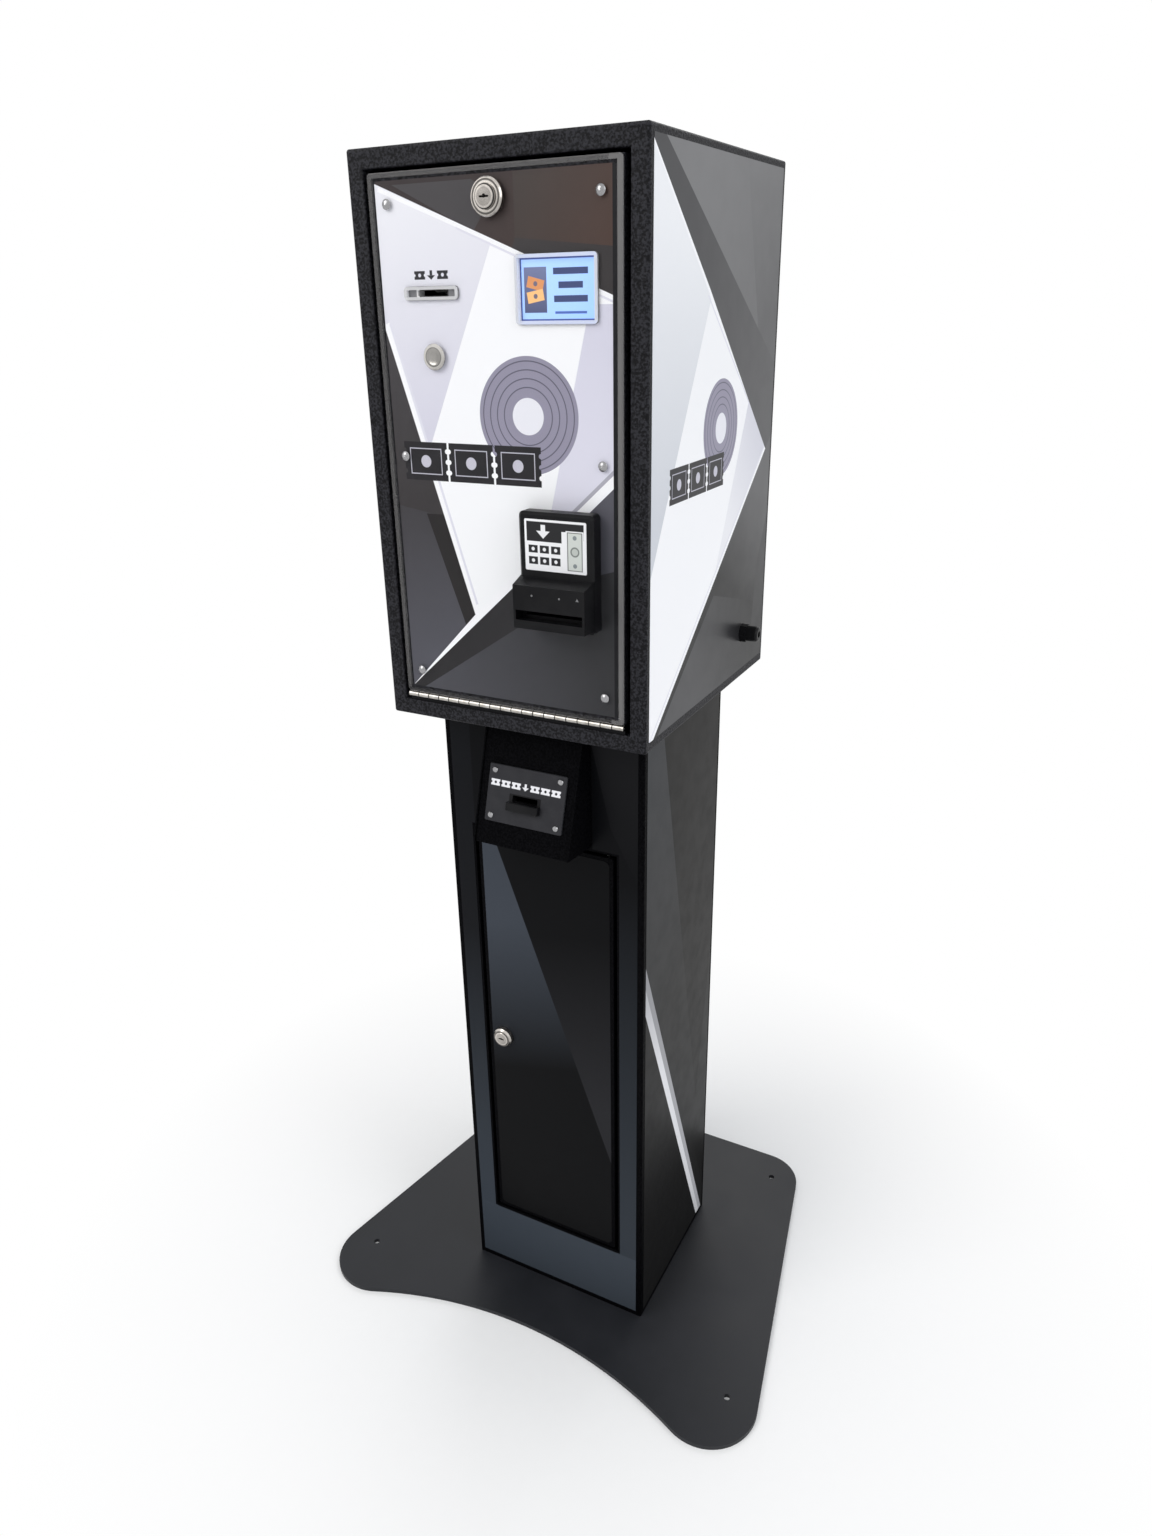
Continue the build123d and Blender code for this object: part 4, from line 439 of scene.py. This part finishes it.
# Column sheets: near black, with slate wedges
def column_front_sheet():
    p = Painter("column_print_front")
    ink, slate = (0.0040, 0.0042, 0.0052), (0.046, 0.056, 0.071)
    colour = p.fade((0.0, 0.75), (0.0, 0.20), ink, (0.010, 0.011, 0.013))
    west, east = (p.bar((x, 0.460), 0.038, 0.900) for x in (-0.119, 0.119))
    colour = p.facets(colour, west, (None, (-0.12, 0.60), (-0.12, 0.08), (0.0075, 0.0080, 0.0100), slate))
    colour = p.facets(colour, east, (None, (0.12, 0.72), (0.12, 0.08), ink, (0.040, 0.048, 0.060)))
    colour = p.facets(
        colour, None,
        (((0.0930, 0.7900), (0.1400, 0.7000), (0.1400, 0.9100), (0.0650, 0.9100)),
         (0.10, 0.90), (0.12, 0.72), (0.0110, 0.0110, 0.0125), ink))
    foot = p.bar((0.0, 0.060), 0.280, 0.1065)
    colour = p.facets(colour, foot, (None, (-0.12, 0.10), (0.12, 0.02), slate, (0.052, 0.062, 0.077)))
    return p.film(colour, 0.34, 0.40, 0.05)


def column_door_sheet():
    p = Painter("column_print_door")
    ink = (0.0038, 0.0039, 0.0046)
    colour = p.fade((0.030, 0.62), (0.080, 0.36), ink, (0.021, 0.021, 0.024))
    colour = p.facets(
        colour, None,
        (((0.0864, 0.2882), (-0.0691, 0.7322)), (-0.07, 0.62), (-0.01, 0.40), (0.050, 0.058, 0.073), ink))
    colour = p.blend(p.along((0.0, 0.30), (0.0, 0.20)), colour, (0.0042, 0.0042, 0.0048))
    return p.film(colour, 0.30, 0.36, 0.05)


def column_side_sheet():
    p = Painter("column_print_side", "y")
    line_a, line_b = (-0.0750, 0.9040), (0.1210, 0.0140)
    west, below = p.side(line_b, line_a), p.side((0.0900, 0.0140), (-0.1290, 0.5650))
    colour = p.fade((-0.03, 0.90), (0.12, 0.10), (0.0080, 0.0074, 0.0070), (0.0070, 0.0067, 0.0065))
    colour = p.facets(
        colour, None,
        (((0.0650, 0.2600), (0.1250, 0.0140), (0.1400, 0.4200), (0.1060, 0.5000)),
         (0.11, 0.48), (0.11, 0.10), (0.021, 0.021, 0.021), (0.010, 0.010, 0.010)))
    colour = p.facets(
        colour, west,
        (None, (-0.11, 0.88), (-0.03, 0.50), (0.038, 0.040, 0.044), (0.015, 0.015, 0.015)),
        (((-0.0300, 0.4300), (0.1210, 0.0140), (0.0419, 0.3879)),
         (0.0, 0.42), (0.09, 0.12), (0.017, 0.017, 0.017), (0.011, 0.011, 0.011)))
    colour = p.facets(
        colour, below, (None, (-0.11, 0.45), (-0.02, 0.05), (0.0045, 0.0042, 0.0042), (0.0100, 0.0100, 0.0102)))
    # A pale stripe with a darker edge
    colour = p.facets(
        colour, None,
        (((-0.1290, 0.5530), (0.0835, 0.0140), (0.1030, 0.0140), (-0.1290, 0.6250)),
         (-0.12, 0.60), (-0.05, 0.40), (0.40, 0.40, 0.42), (0.80, 0.80, 0.83)),
        (((-0.1290, 0.5930), (0.0940, 0.0140), (0.1030, 0.0140), (-0.1290, 0.6250)),
         (-0.10, 0.55), (0.09, 0.05), (0.30, 0.30, 0.32), (0.52, 0.52, 0.55)))
    return p.film(colour, 0.30, 0.38, 0.05)


# Paints, metals and mouldings
def powder_coat(name, low, high, specular):
    p = Painter(name)
    pebble = p.noise(430, 2.0)
    fine = p.noise(1500, 2.0)
    tone = p.blend(p.span(pebble, 0.42, 0.60, 0.0, 1.0), low, high)
    height = p.math("MULTIPLY_ADD", fine, 0.25, pebble)
    return p.finish(tone, p.vary(fine, 0.42, 0.58), normal=p.bump(height, 0.85, 0.0009), specular=specular)


def plate_paint():
    p = Painter("charcoal_plate")
    drift = p.noise(7, 4.0, 0.6)
    fine = p.noise(1500, 2.0)
    tone = p.cloud(drift, (0.012, 0.013, 0.016), (0.017, 0.018, 0.022))
    return p.finish(tone, p.vary(drift, 0.40, 0.52), normal=p.bump(fine, 0.12, 0.0002), specular=0.28)


def moulding(name, tone, tone_2, rough=0.42, strength=0.12, specular=0.35):
    p = Painter(name)
    grain = p.noise(1700)
    colour = p.cloud(p.noise(30), tone, tone_2)
    return p.finish(colour, p.vary(grain, rough - 0.05, rough + 0.07), normal=p.bump(grain, strength, 0.0002),
                    specular=specular)


def drawn_metal(name, tone, rough, stretch):
    """Rolled or ground metal with fine lines along one direction."""
    p = Painter(name)
    lines = p.noise(1.0, 3.0, 0.6, stretch)
    colour = p.cloud(p.noise(40), [c * 0.82 for c in tone], tone)
    return p.finish(colour, p.vary(lines, rough - 0.06, rough + 0.08), metal=1.0, normal=p.bump(lines, 0.15, 0.0001))


# The hinge's knuckles: their length, the share of it that is a dark break, a shift that keeps the count of knuckles
# above zero and sets the first break, and the barrel's radius
KNUCKLE, BREAK, SHIFT, BARREL = 0.0140, 0.085, 40.04, 0.0031


def hinge_metal():
    """A steel barrel, dark at the breaks between its knuckles. Outside the barrel the leaves are coloured near black.
    """
    p = Painter("hinge_steel")
    at = p.split(p.coords)
    step = p.math("FRACT", p.math("MULTIPLY_ADD", at["X"], 1 / KNUCKLE, SHIFT))
    away = p.math("ABSOLUTE", p.math("SUBTRACT", at["Z"], middle("hinge_pin").z))
    painted = p.math("GREATER_THAN", away, BARREL)
    wear = p.noise(120)
    colour = p.cloud(wear, (0.36, 0.34, 0.31), (0.56, 0.54, 0.51))
    colour = p.blend(p.either(painted, p.math("LESS_THAN", step, BREAK)), colour, (0.012, 0.012, 0.013))
    return p.finish(colour, p.vary(wear, 0.30, 0.40), metal=1.0, normal=p.bump(wear, 0.1, 0.0001))


def spun_metal(name, at, bands, tone, rough, key=0.0):
    """Metal turned on a lathe: faint rings, rings of painted highlight and shade given as (outer radius, shade),
    painted light that is brighter at the upper left, and a keyway of some length or none, painted dark as the shade
    in its slot.
    """
    p = Painter(name)
    centre = (at.x, at.z)
    rings = p.node("ShaderNodeTexNoise", noise_dimensions="1D")
    rings.inputs["Scale"].default_value = 3200
    rings.inputs["Detail"].default_value = 2.0
    p.link(p.distance(centre), rings.inputs["W"])
    slant = p.along((at.x - 0.012, at.z + 0.014), (at.x + 0.012, at.z - 0.014))
    shade = 1.0
    for radius, level in bands:
        step = p.math("SUBTRACT", level, shade)
        shade = p.math("MULTIPLY_ADD", p.disc(centre, radius, soft=0.0005), step, shade)
    # Painted light: brighter towards the upper left and darker towards the lower right
    shade = p.math("MULTIPLY", shade, p.span(slant, 0.0, 1.0, 1.12, 0.62))
    shade = p.math("MULTIPLY", shade, p.span(p.noise(180), 0.35, 0.65, 0.90, 1.05))
    colour = p.blend(shade, (0.004, 0.004, 0.004), tone)
    if key:
        # The keyway is painted near black, as the shade inside its slot
        slot = p.either(p.bar(centre, key, key * 0.15), p.disc((at.x, at.z + key * 0.05), key * 0.17))
        colour = p.blend(slot, colour, (0.006, 0.005, 0.005))
    return p.finish(colour, p.vary(rings.outputs[0], rough - 0.06, rough + 0.08), metal=1.0,
                    normal=p.bump(rings.outputs[0], 0.12, 0.0001))


def clear(name, tint, edge_tone, rough=0.03, haze=0.0, strip=None):
    """Clear plastic: it lets light through, gleams at a slant on the outside, and its cut edges show grey.

    Faced squarely it reflects nothing, because so faint a gleam only makes grain. The sheet behind it has that sheen.
    """
    p = Painter(name)
    through = p.node("ShaderNodeBsdfTransparent")
    through.inputs["Color"].default_value = (*tint, 1)
    gloss = p.node("ShaderNodeBsdfPrincipled")
    gloss.inputs["Base Color"].default_value = (0.9, 0.93, 0.95, 1)
    gloss.inputs["Metallic"].default_value = 1.0
    gloss.inputs["Roughness"].default_value = rough
    fresnel = p.node("ShaderNodeFresnel")
    fresnel.inputs["IOR"].default_value = 1.45
    geometry = p.node("ShaderNodeNewGeometry")
    normal = geometry.outputs["True Normal"]
    p.link(normal, fresnel.inputs["Normal"])
    p.link(normal, gloss.inputs["Normal"])
    outside = p.without(1.0, geometry.outputs["Backfacing"])
    gleam = p.math("MULTIPLY", p.span(fresnel.outputs[0], 0.06, 1.0, 0.0, 1.0), outside)
    gleam = p.math("MULTIPLY", gleam, p.vary(p.noise(7, 2.0), 0.40, 0.50))
    face = p.node("ShaderNodeMixShader")
    p.link(gleam, face.inputs[0])
    p.link(through.outputs[0], face.inputs[1])
    p.link(gloss.outputs[0], face.inputs[2])
    turn = p.node("ShaderNodeVectorTransform", vector_type="NORMAL", convert_from="WORLD", convert_to="OBJECT")
    p.link(normal, turn.inputs[0])
    edge = p.math("LESS_THAN", p.math("ABSOLUTE", p.split(turn.outputs[0])["Y"]), 0.95)
    frost = p.node("ShaderNodeBsdfPrincipled")
    frost.inputs["Base Color"].default_value = (*edge_tone, 1)
    frost.inputs["Roughness"].default_value = 0.25
    amount = p.math("MULTIPLY_ADD", edge, 0.6, haze, clamp=True)
    if strip:
        amount = p.either(amount, strip(p))
    outer = p.node("ShaderNodeMixShader")
    p.link(amount, outer.inputs[0])
    p.link(face.outputs[0], outer.inputs[1])
    p.link(frost.outputs[0], outer.inputs[2])
    p.link(outer.outputs[0], p.out.inputs["Surface"])
    return p.mat


def cover_band_and_highlight(p):
    """The band just inside the cover's outline, where the cut edge shows through its face, with a painted highlight
    along the right side, and fainter towards the bottom edge.
    """
    centre = ((cover_low.x + cover_high.x) / 2, (cover_low.z + cover_high.z) / 2)
    w, h = cover_high.x - cover_low.x, cover_high.z - cover_low.z
    inner = centre[0] + w * 0.45
    band = p.without(p.bar(centre, w, h), p.bar(centre, w - 0.0110, h - 0.0092))
    # Painted highlight: the band is stronger along the right side of the cover
    east = p.shape((inner, cover_low.z), (cover_high.x, cover_low.z), (cover_high.x, cover_high.z),
                   (inner, cover_high.z))
    south = p.along((centre[0], cover_low.z + 0.010), (centre[0], cover_low.z + 0.004))
    level = p.math("MULTIPLY_ADD", east, 0.40, p.math("MULTIPLY_ADD", south, -0.20, 0.32))
    return p.math("MULTIPLY", band, level)


def screen():
    """A lit screen with two plain tickets and bars in place of words. The sides and the back of it are dark."""
    p = Painter("screen")
    x, z = screen_at.x, screen_at.z
    colour = p.fade((x - 0.04, z + 0.027), (x + 0.04, z - 0.027), (0.36, 0.55, 0.97), (0.30, 0.50, 0.95))
    border = p.without(p.bar((x, z), 0.082, 0.055), p.bar((x, z), 0.0788, 0.0522))
    colour = p.blend(border, colour, (0.03, 0.05, 0.22))
    panel_x, note_z = x - 0.0245, z + 0.005
    panel = p.bar((panel_x, z - 0.0005), 0.0245, 0.040)
    colour = p.facets(colour, panel,
                      (None, (x - 0.024, z + 0.02), (x - 0.024, z - 0.02), (0.12, 0.14, 0.26), (0.05, 0.06, 0.14)))
    for at, tilt, tone in (((panel_x, note_z), -14, (0.55, 0.22, 0.08)),
                           ((panel_x, note_z - 0.011), 10, (0.72, 0.40, 0.16))):
        colour = p.blend(p.bar(at, 0.018, 0.010, tilt), colour, tone)
        colour = p.blend(p.disc(at, 0.0022), colour, (0.12, 0.10, 0.14))
    for wide, up in ((0.037, 0.0155), (0.026, 0.0035), (0.036, -0.0085)):
        colour = p.blend(p.bar((x + 0.0135, z + up), wide, 0.0058), colour, (0.020, 0.035, 0.12))
    colour = p.blend(p.bar((x + 0.0135, z - 0.0205), 0.034, 0.0022), colour, (0.05, 0.10, 0.35))
    glass = p.math("LESS_THAN", p.split(p.coords)["Y"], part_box("display_module")[0].y + 0.0004)
    glow = p.blend(glass, (0.0, 0.0, 0.0), colour)
    colour = p.blend(glass, (0.030, 0.031, 0.034), colour)
    return p.finish(colour, 0.18, coat=0.4, glow=glow, glow_strength=0.38)


def card():
    """Stacked ticket card: its folds show as fine level lines."""
    p = Painter("ticket_paper")
    tone = (0.78, 0.42, 0.12)
    fibre = p.noise(900, 4.0, 0.6)
    folds = p.noise(1.0, 2.0, 0.5, (30, 30, 2400))
    colour = p.blend(p.span(folds, 0.42, 0.58, 0.0, 1.0), [c * 0.6 for c in tone], tone)
    return p.finish(colour, 0.75, normal=p.bump(p.math("MULTIPLY_ADD", fibre, 0.3, folds), 0.4, 0.0003))


def inlet_paint():
    """Satin plate over the return slot, with white signs."""
    p = Painter("inlet_plate")
    low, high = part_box("inlet_plate")
    colour = p.cloud(p.noise(60), (0.022, 0.022, 0.026), (0.028, 0.028, 0.032))
    signs_at = ((low.x + high.x) / 2 - 0.001, high.z - (high.z - low.z) * 0.31)
    colour = ticket_row(p, colour, signs_at, 0.0073, (0.86, 0.86, 0.90), (0.024, 0.024, 0.028), 3)
    fine = p.noise(900)
    return p.finish(colour, p.vary(fine, 0.42, 0.52), normal=p.bump(fine, 0.15, 0.0002), specular=0.15)


def mouth_paint():
    """Plastic around the ticket slot, paler at the ends, with painted shade across the middle of the slot and a
    painted highlight near its left end.
    """
    p = Painter("exit_mouth")
    # Painted shade: the slot's middle is near black, as the dark inside the slot
    dark = p.bar((exit_at.x, exit_at.z), 0.0380, 0.030)
    colour = p.blend(dark, (0.20, 0.20, 0.21), (0.006, 0.006, 0.007))
    # Painted highlight: a white strip near the slot's left end
    colour = p.blend(p.bar((exit_at.x - 0.0175, exit_at.z), 0.0034, 0.0090), colour, (0.80, 0.80, 0.80))
    grain = p.noise(900)
    return p.finish(colour, p.vary(grain, 0.38, 0.48), normal=p.bump(grain, 0.1, 0.0001), specular=0.3)


# Painted highlights and shade in rings on the lock heads and the button: outer radius and shade
FRONT_LOCK_PAINTED_LIGHT = ((0.0175, 0.95), (0.0153, 0.22), (0.0134, 1.05), (0.0111, 0.04), (0.0099, 0.95), (0.0081, 0.62))
SMALL_LOCK_PAINTED_LIGHT = ((0.0145, 0.90), (0.0121, 0.35), (0.0106, 0.06), (0.0099, 1.0), (0.0080, 0.70))
BUTTON_PAINTED_LIGHT = ((0.0125, 1.0), (0.0094, 0.28), (0.0087, 0.58))
NICKEL, BUTTON_NICKEL = (0.66, 0.62, 0.58), (0.66, 0.64, 0.61)

coat = powder_coat("black_powder_coat", (0.0030, 0.0030, 0.0042), (0.0240, 0.0240, 0.0290), 0.12)
# A darker copy of the black powder coat, with less sheen: painted shade for the hood in the shade under the cabinet;
# the column and its door share it
shaded_coat = powder_coat("column_powder_coat", (0.0008, 0.0008, 0.0012), (0.0030, 0.0030, 0.0038), 0.02)
front_nickel = spun_metal("nickel_front_lock", lock_at, FRONT_LOCK_PAINTED_LIGHT, NICKEL, 0.22, key=0.0105)
small_nickel = spun_metal("nickel_column_lock", small_lock_at, SMALL_LOCK_PAINTED_LIGHT, NICKEL, 0.22, key=0.0085)
button_nickel = spun_metal("nickel_button", button_at, BUTTON_PAINTED_LIGHT, BUTTON_NICKEL, 0.20)
zinc = drawn_metal("zinc_steel", (0.37, 0.37, 0.38), 0.26, (300, 300, 300))
steel = drawn_metal("bare_steel", (0.55, 0.55, 0.56), 0.34, (40, 1600, 1600))
case_steel = drawn_metal("supply_case", (0.56, 0.57, 0.58), 0.42, (900, 900, 30))
black_abs = moulding("black_abs", (0.004, 0.004, 0.005), (0.008, 0.008, 0.009), 0.34, specular=0.13)
grey_abs = moulding("grey_abs", (0.20, 0.205, 0.22), (0.26, 0.265, 0.28))
bin_plastic = moulding("bin_plastic", (0.055, 0.062, 0.072), (0.075, 0.083, 0.095), 0.5)
nylon = moulding("white_nylon", (0.72, 0.72, 0.68), (0.80, 0.80, 0.76), 0.45)
rubber = moulding("roller_rubber", (0.018, 0.018, 0.018), (0.03, 0.03, 0.03), 0.7, 0.4)
board = moulding("circuit_board", (0.012, 0.10, 0.045), (0.02, 0.15, 0.07), 0.35)
clear_acrylic = clear("clear_acrylic", (0.99, 0.99, 0.99), (0.17, 0.165, 0.165), strip=cover_band_and_highlight)
clear_rim = clear("clear_rim", (0.97, 0.975, 0.98), (0.90, 0.90, 0.92), rough=0.08, haze=0.62)

dress(coat, "face_frame", "cabinet_wrap", "cabinet_sides", "door_panel")
dress(shaded_coat, "column", "hood_shell", "column_door")
dress(inlet_paint(), "inlet_plate")
dress(plate_paint(), "base_plate")
dress(side_sheet(), "cabinet_side_films")
dress(column_front_sheet(), "column_front_film")
dress(column_side_sheet(), "column_side_films")
dress(column_door_sheet(), "column_door_film")
dress(clear_acrylic, "acrylic_panel")
dress(clear_rim, "exit_rim", "display_rim")
dress(front_nickel, "front_lock_body", "front_lock_nut", "front_lock_plug")
dress(small_nickel, "column_lock_body", "column_lock_nut", "column_lock_plug")
dress(button_nickel, "button_body", "button_nut", "button_cap")
dress(zinc, "acrylic_screws", "base_screws", "cabinet_bolts", "inlet_screws", "pivot_pins", "dispenser_motor",
      "board_standoffs", "front_lock_cam", "column_lock_cam")
dress(hinge_metal(), "hinge_frame_leaf", "hinge_door_leaf")
dress(steel, "hinge_pin", "ticket_chute", "ticket_tray", "tear_bar", "dispenser_chassis", "feed_shaft", "motor_gear")
dress(black_abs, "bill_mask", "inlet_snout", "gland_body", "gland_cap", "gland_locknut")
dress(mouth_paint(), "exit_mouth")
dress(grey_abs, "bill_validator", "cash_box")
dress(bin_plastic, "collection_bin")
dress(nylon, "roller_gear", "pinch_roller")
dress(rubber, "feed_roller")
dress(board, "control_board")
dress(case_steel, "power_supply")
dress(screen(), "display_module")
dress(card(), "ticket_stack")


# Pieces that the scene adds
def piece(name, mesh, mat, body):
    made = bpy.data.objects.new(name, mesh)
    bpy.context.scene.collection.objects.link(made)
    mesh.materials.append(mat)
    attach(made, body)
    return made


def as_mesh(name, bm):
    bmesh.ops.recalc_face_normals(bm, faces=bm.faces)
    mesh = bpy.data.meshes.new(name)
    bm.to_mesh(mesh)
    bm.free()
    return mesh


def rounded(w, h, r, steps=6):
    """The outline of a rectangle with round corners, anticlockwise from the lower right."""
    points = []
    for cx, cz, start in ((w / 2 - r, r - h / 2, -90), (w / 2 - r, h / 2 - r, 0), (r - w / 2, h / 2 - r, 90),
                          (r - w / 2, r - h / 2, 180)):
        for i in range(steps + 1):
            a = radians(start + 90 * i / steps)
            points.append((cx + r * cos(a), cz + r * sin(a)))
    return points


def card_mesh(name, x, z, w, h, r, back, thick):
    """A thin card with a softened front edge, its back against the face at y = back."""
    bm = bmesh.new()
    rings = []
    for y, inset in ((back, 0.0), (back - thick * 0.6, 0.0), (back - thick, thick * 0.5)):
        outline = rounded(w - 2 * inset, h - 2 * inset, r)
        rings.append([bm.verts.new((x + a, y, z + b)) for a, b in outline])
    for low, high in zip(rings, rings[1:]):
        for i in range(len(low)):
            j = (i + 1) % len(low)
            bm.faces.new((low[i], low[j], high[j], high[i]))
    bm.faces.new(rings[-1])
    bm.faces.new(list(reversed(rings[0])))
    return as_mesh(name, bm)


# The printed sheet lies a hair behind the clear cover, so that the two faces don't coincide
SHEET_GAP = 0.0001


def sheet_mesh(node):
    mesh = nodes[node].data.copy()
    mesh.name = node + "_sheet"
    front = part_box(node)[0].y + SHEET_GAP
    for vertex in mesh.vertices:
        vertex.co.y = max(vertex.co.y, front)
    mesh.materials.clear()
    return mesh


print_sheet = piece("front_print_sheet", sheet_mesh("door_print"), front_sheet(), "front_door")
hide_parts("door_print")


def label_paint(x, z, w, h):
    """The bill acceptor's label: an arrow, two rows of small note signs, and one large plain note."""
    p = Painter("bill_label")
    ink, white = (0.010, 0.010, 0.012), (0.82, 0.82, 0.84)
    colour = p.fade((x - w / 2, z), (x + w / 2, z), (0.88, 0.88, 0.90), (0.82, 0.82, 0.84))
    west, east, north = x - w * 0.465, x + w * 0.460, z + h * 0.455
    for at, wide, high in ((((west + east) / 2, north - h * 0.08), east - west, h * 0.16),
                           ((west + w * 0.285, north - h * 0.19), w * 0.57, h * 0.38),
                           ((east - w * 0.02, north - h * 0.15), w * 0.04, h * 0.30)):
        colour = p.blend(p.bar(at, wide, high), colour, ink)
    ax, az = west + w * 0.27, north - h * 0.19
    colour = p.blend(p.bar((ax, az + 0.0035), 0.0052, 0.0072), colour, white)
    head = p.shape((ax - 0.0078, az + 0.0008), (ax, az - 0.0068), (ax + 0.0078, az + 0.0008))
    colour = p.blend(head, colour, white)
    for row in range(2):
        for i in range(3):
            sign_at = (west + w * (0.10 + 0.185 * i), z - h * (0.075 + 0.225 * row))
            colour = p.blend(p.bar(sign_at, w * 0.150, h * 0.150), colour, ink)
            colour = p.blend(p.disc(sign_at, h * 0.036), colour, white)
    note = (x + w * 0.315, z - h * 0.075)
    for wide, high, tone in ((0.285, 0.79, white), (0.245, 0.745, (0.16, 0.17, 0.165)),
                             (0.215, 0.71, (0.60, 0.63, 0.60))):
        colour = p.blend(p.bar(note, w * wide, h * high), colour, tone)
    colour = p.blend(p.disc(note, w * 0.072), colour, (0.20, 0.22, 0.21))
    colour = p.blend(p.disc(note, w * 0.050), colour, (0.50, 0.53, 0.50))
    for sign in (-1, 1):
        colour = p.blend(p.disc((note[0], note[1] + sign * h * 0.27), w * 0.032), colour, (0.22, 0.25, 0.26))
    return p.finish(colour, p.vary(p.noise(300, 2.0), 0.30, 0.40), specular=0.3)


# The label's place and size, and how far the plate under it stands in front of the clear cover
LABEL_SHIFT, LABEL_Z, LABEL_W, LABEL_H, LABEL_R, LABEL_T = 0.0003, 1.1392, 0.0710, 0.0524, 0.0015, 0.0003
PLATE_PROUD = 0.017

label_x = (mask_low.x + mask_high.x) / 2 + LABEL_SHIFT
label_mesh = card_mesh("bill_label", label_x, LABEL_Z, LABEL_W, LABEL_H, LABEL_R, cover_low.y - PLATE_PROUD, LABEL_T)
piece("bill_label", label_mesh, label_paint(label_x, LABEL_Z, LABEL_W, LABEL_H), "front_door")


def marks_mesh(name, y, places):
    """Low raised marks on the face at y, from rows of (x, z, radius, sides)."""
    bm = bmesh.new()
    for x, z, r, sides in places:
        tip = bm.verts.new((x, y - 0.0008, z))
        ring = []
        for i in range(sides):
            a = 2 * pi * i / sides + (pi / 2 if sides == 3 else 0)
            ring.append(bm.verts.new((x + r * cos(a), y + 0.0002, z + r * sin(a))))
        top = [bm.verts.new(((v.co.x + x * 0.8) / 1.8, y - 0.0006, (v.co.z + z * 0.8) / 1.8)) for v in ring]
        for i in range(sides):
            j = (i + 1) % sides
            bm.faces.new((ring[i], ring[j], top[j], top[i]))
            bm.faces.new((top[i], top[j], tip))
    return as_mesh(name, bm)


# Two dots and a triangle on the bill snout
MARKS = ((0.0529, 1.0908, 0.0013, 20), (0.0849, 1.0905, 0.0013, 20), (0.1055, 1.0908, 0.0024, 3))

piece("snout_marks", marks_mesh("snout_marks", mask_low.y, MARKS),
      moulding("raised_marks", (0.16, 0.16, 0.165), (0.20, 0.20, 0.205), 0.4), "front_door")


# Floor and light
def seen_rays(tree):
    """1 for rays from the camera and for those that come off shiny or through clear surfaces, 0 for soft light."""
    rays = tree.nodes.new("ShaderNodeLightPath")
    seen = rays.outputs["Is Camera Ray"]
    for kind in ("Is Glossy Ray", "Is Transmission Ray"):
        either = tree.nodes.new("ShaderNodeMath")
        either.operation = "MAXIMUM"
        tree.links.new(seen, either.inputs[0])
        tree.links.new(rays.outputs[kind], either.inputs[1])
        seen = either.outputs[0]
    return seen


def floor():
    """A pale floor that turns into the plain white of the background a short way from the object."""
    bm = bmesh.new()
    bmesh.ops.create_grid(bm, x_segments=8, y_segments=8, size=40.0)
    mesh = bpy.data.meshes.new("floor")
    bm.to_mesh(mesh)
    bm.free()
    made = bpy.data.objects.new("floor", mesh)
    made.location.z = -0.0002
    bpy.context.scene.collection.objects.link(made)
    p = Painter("floor")
    base = p.node("ShaderNodeBsdfDiffuse")
    p.link(p.blend(p.noise(60), (0.93, 0.93, 0.935), (0.95, 0.95, 0.955)), base.inputs["Color"])
    glow = p.node("ShaderNodeEmission")
    glow.inputs["Strength"].default_value = 1.0
    length = p.node("ShaderNodeVectorMath", operation="LENGTH")
    p.link(p.coords, length.inputs[0])
    far = p.span(length.outputs["Value"], 0.30, 0.85, 0.0, 1.0)
    mix = p.node("ShaderNodeMixShader")
    p.link(p.math("MULTIPLY", far, seen_rays(p.tree)), mix.inputs[0])
    p.link(base.outputs[0], mix.inputs[1])
    p.link(glow.outputs[0], mix.inputs[2])
    p.link(mix.outputs[0], p.out.inputs["Surface"])
    mesh.materials.append(p.mat)


def studio():
    """A white sky where it is seen or reflected, and a weaker one as soft light."""
    world = bpy.data.worlds.new("studio")
    bpy.context.scene.world = world
    world.use_nodes = True
    tree = world.node_tree
    tree.nodes.clear()
    mix = tree.nodes.new("ShaderNodeMixShader")
    tree.links.new(seen_rays(tree), mix.inputs[0])
    for socket, colour, strength in ((1, (0.96, 0.98, 1.0, 1), 0.62), (2, (1, 1, 1, 1), 1.0)):
        sky = tree.nodes.new("ShaderNodeBackground")
        sky.inputs["Color"].default_value = colour
        sky.inputs["Strength"].default_value = strength
        tree.links.new(sky.outputs[0], mix.inputs[socket])
    out = tree.nodes.new("ShaderNodeOutputWorld")
    tree.links.new(mix.outputs[0], out.inputs["Surface"])


def lamp(name, place, aim, size, power, tint):
    data = bpy.data.lights.new(name, "AREA")
    data.shape = "RECTANGLE"
    data.size, data.size_y = size
    data.energy = power
    data.color = tint
    made = bpy.data.objects.new(name, data)
    made.location = place
    made.rotation_euler = (Vector(aim) - Vector(place)).to_track_quat("-Z", "Y").to_euler()
    bpy.context.scene.collection.objects.link(made)


floor()
studio()
lamp("key_light", (-1.6, -2.6, 3.2), (0, -0.1, 1.0), (2.2, 2.2), 62, (1.0, 0.985, 0.96))
lamp("side_light", (3.0, -0.6, 2.4), (0, 0, 1.0), (2.0, 2.4), 34, (0.97, 0.985, 1.0))
lamp("rear_light", (-0.6, 2.8, 3.0), (0, 0, 1.1), (2.4, 1.6), 24, (1.0, 1.0, 1.0))
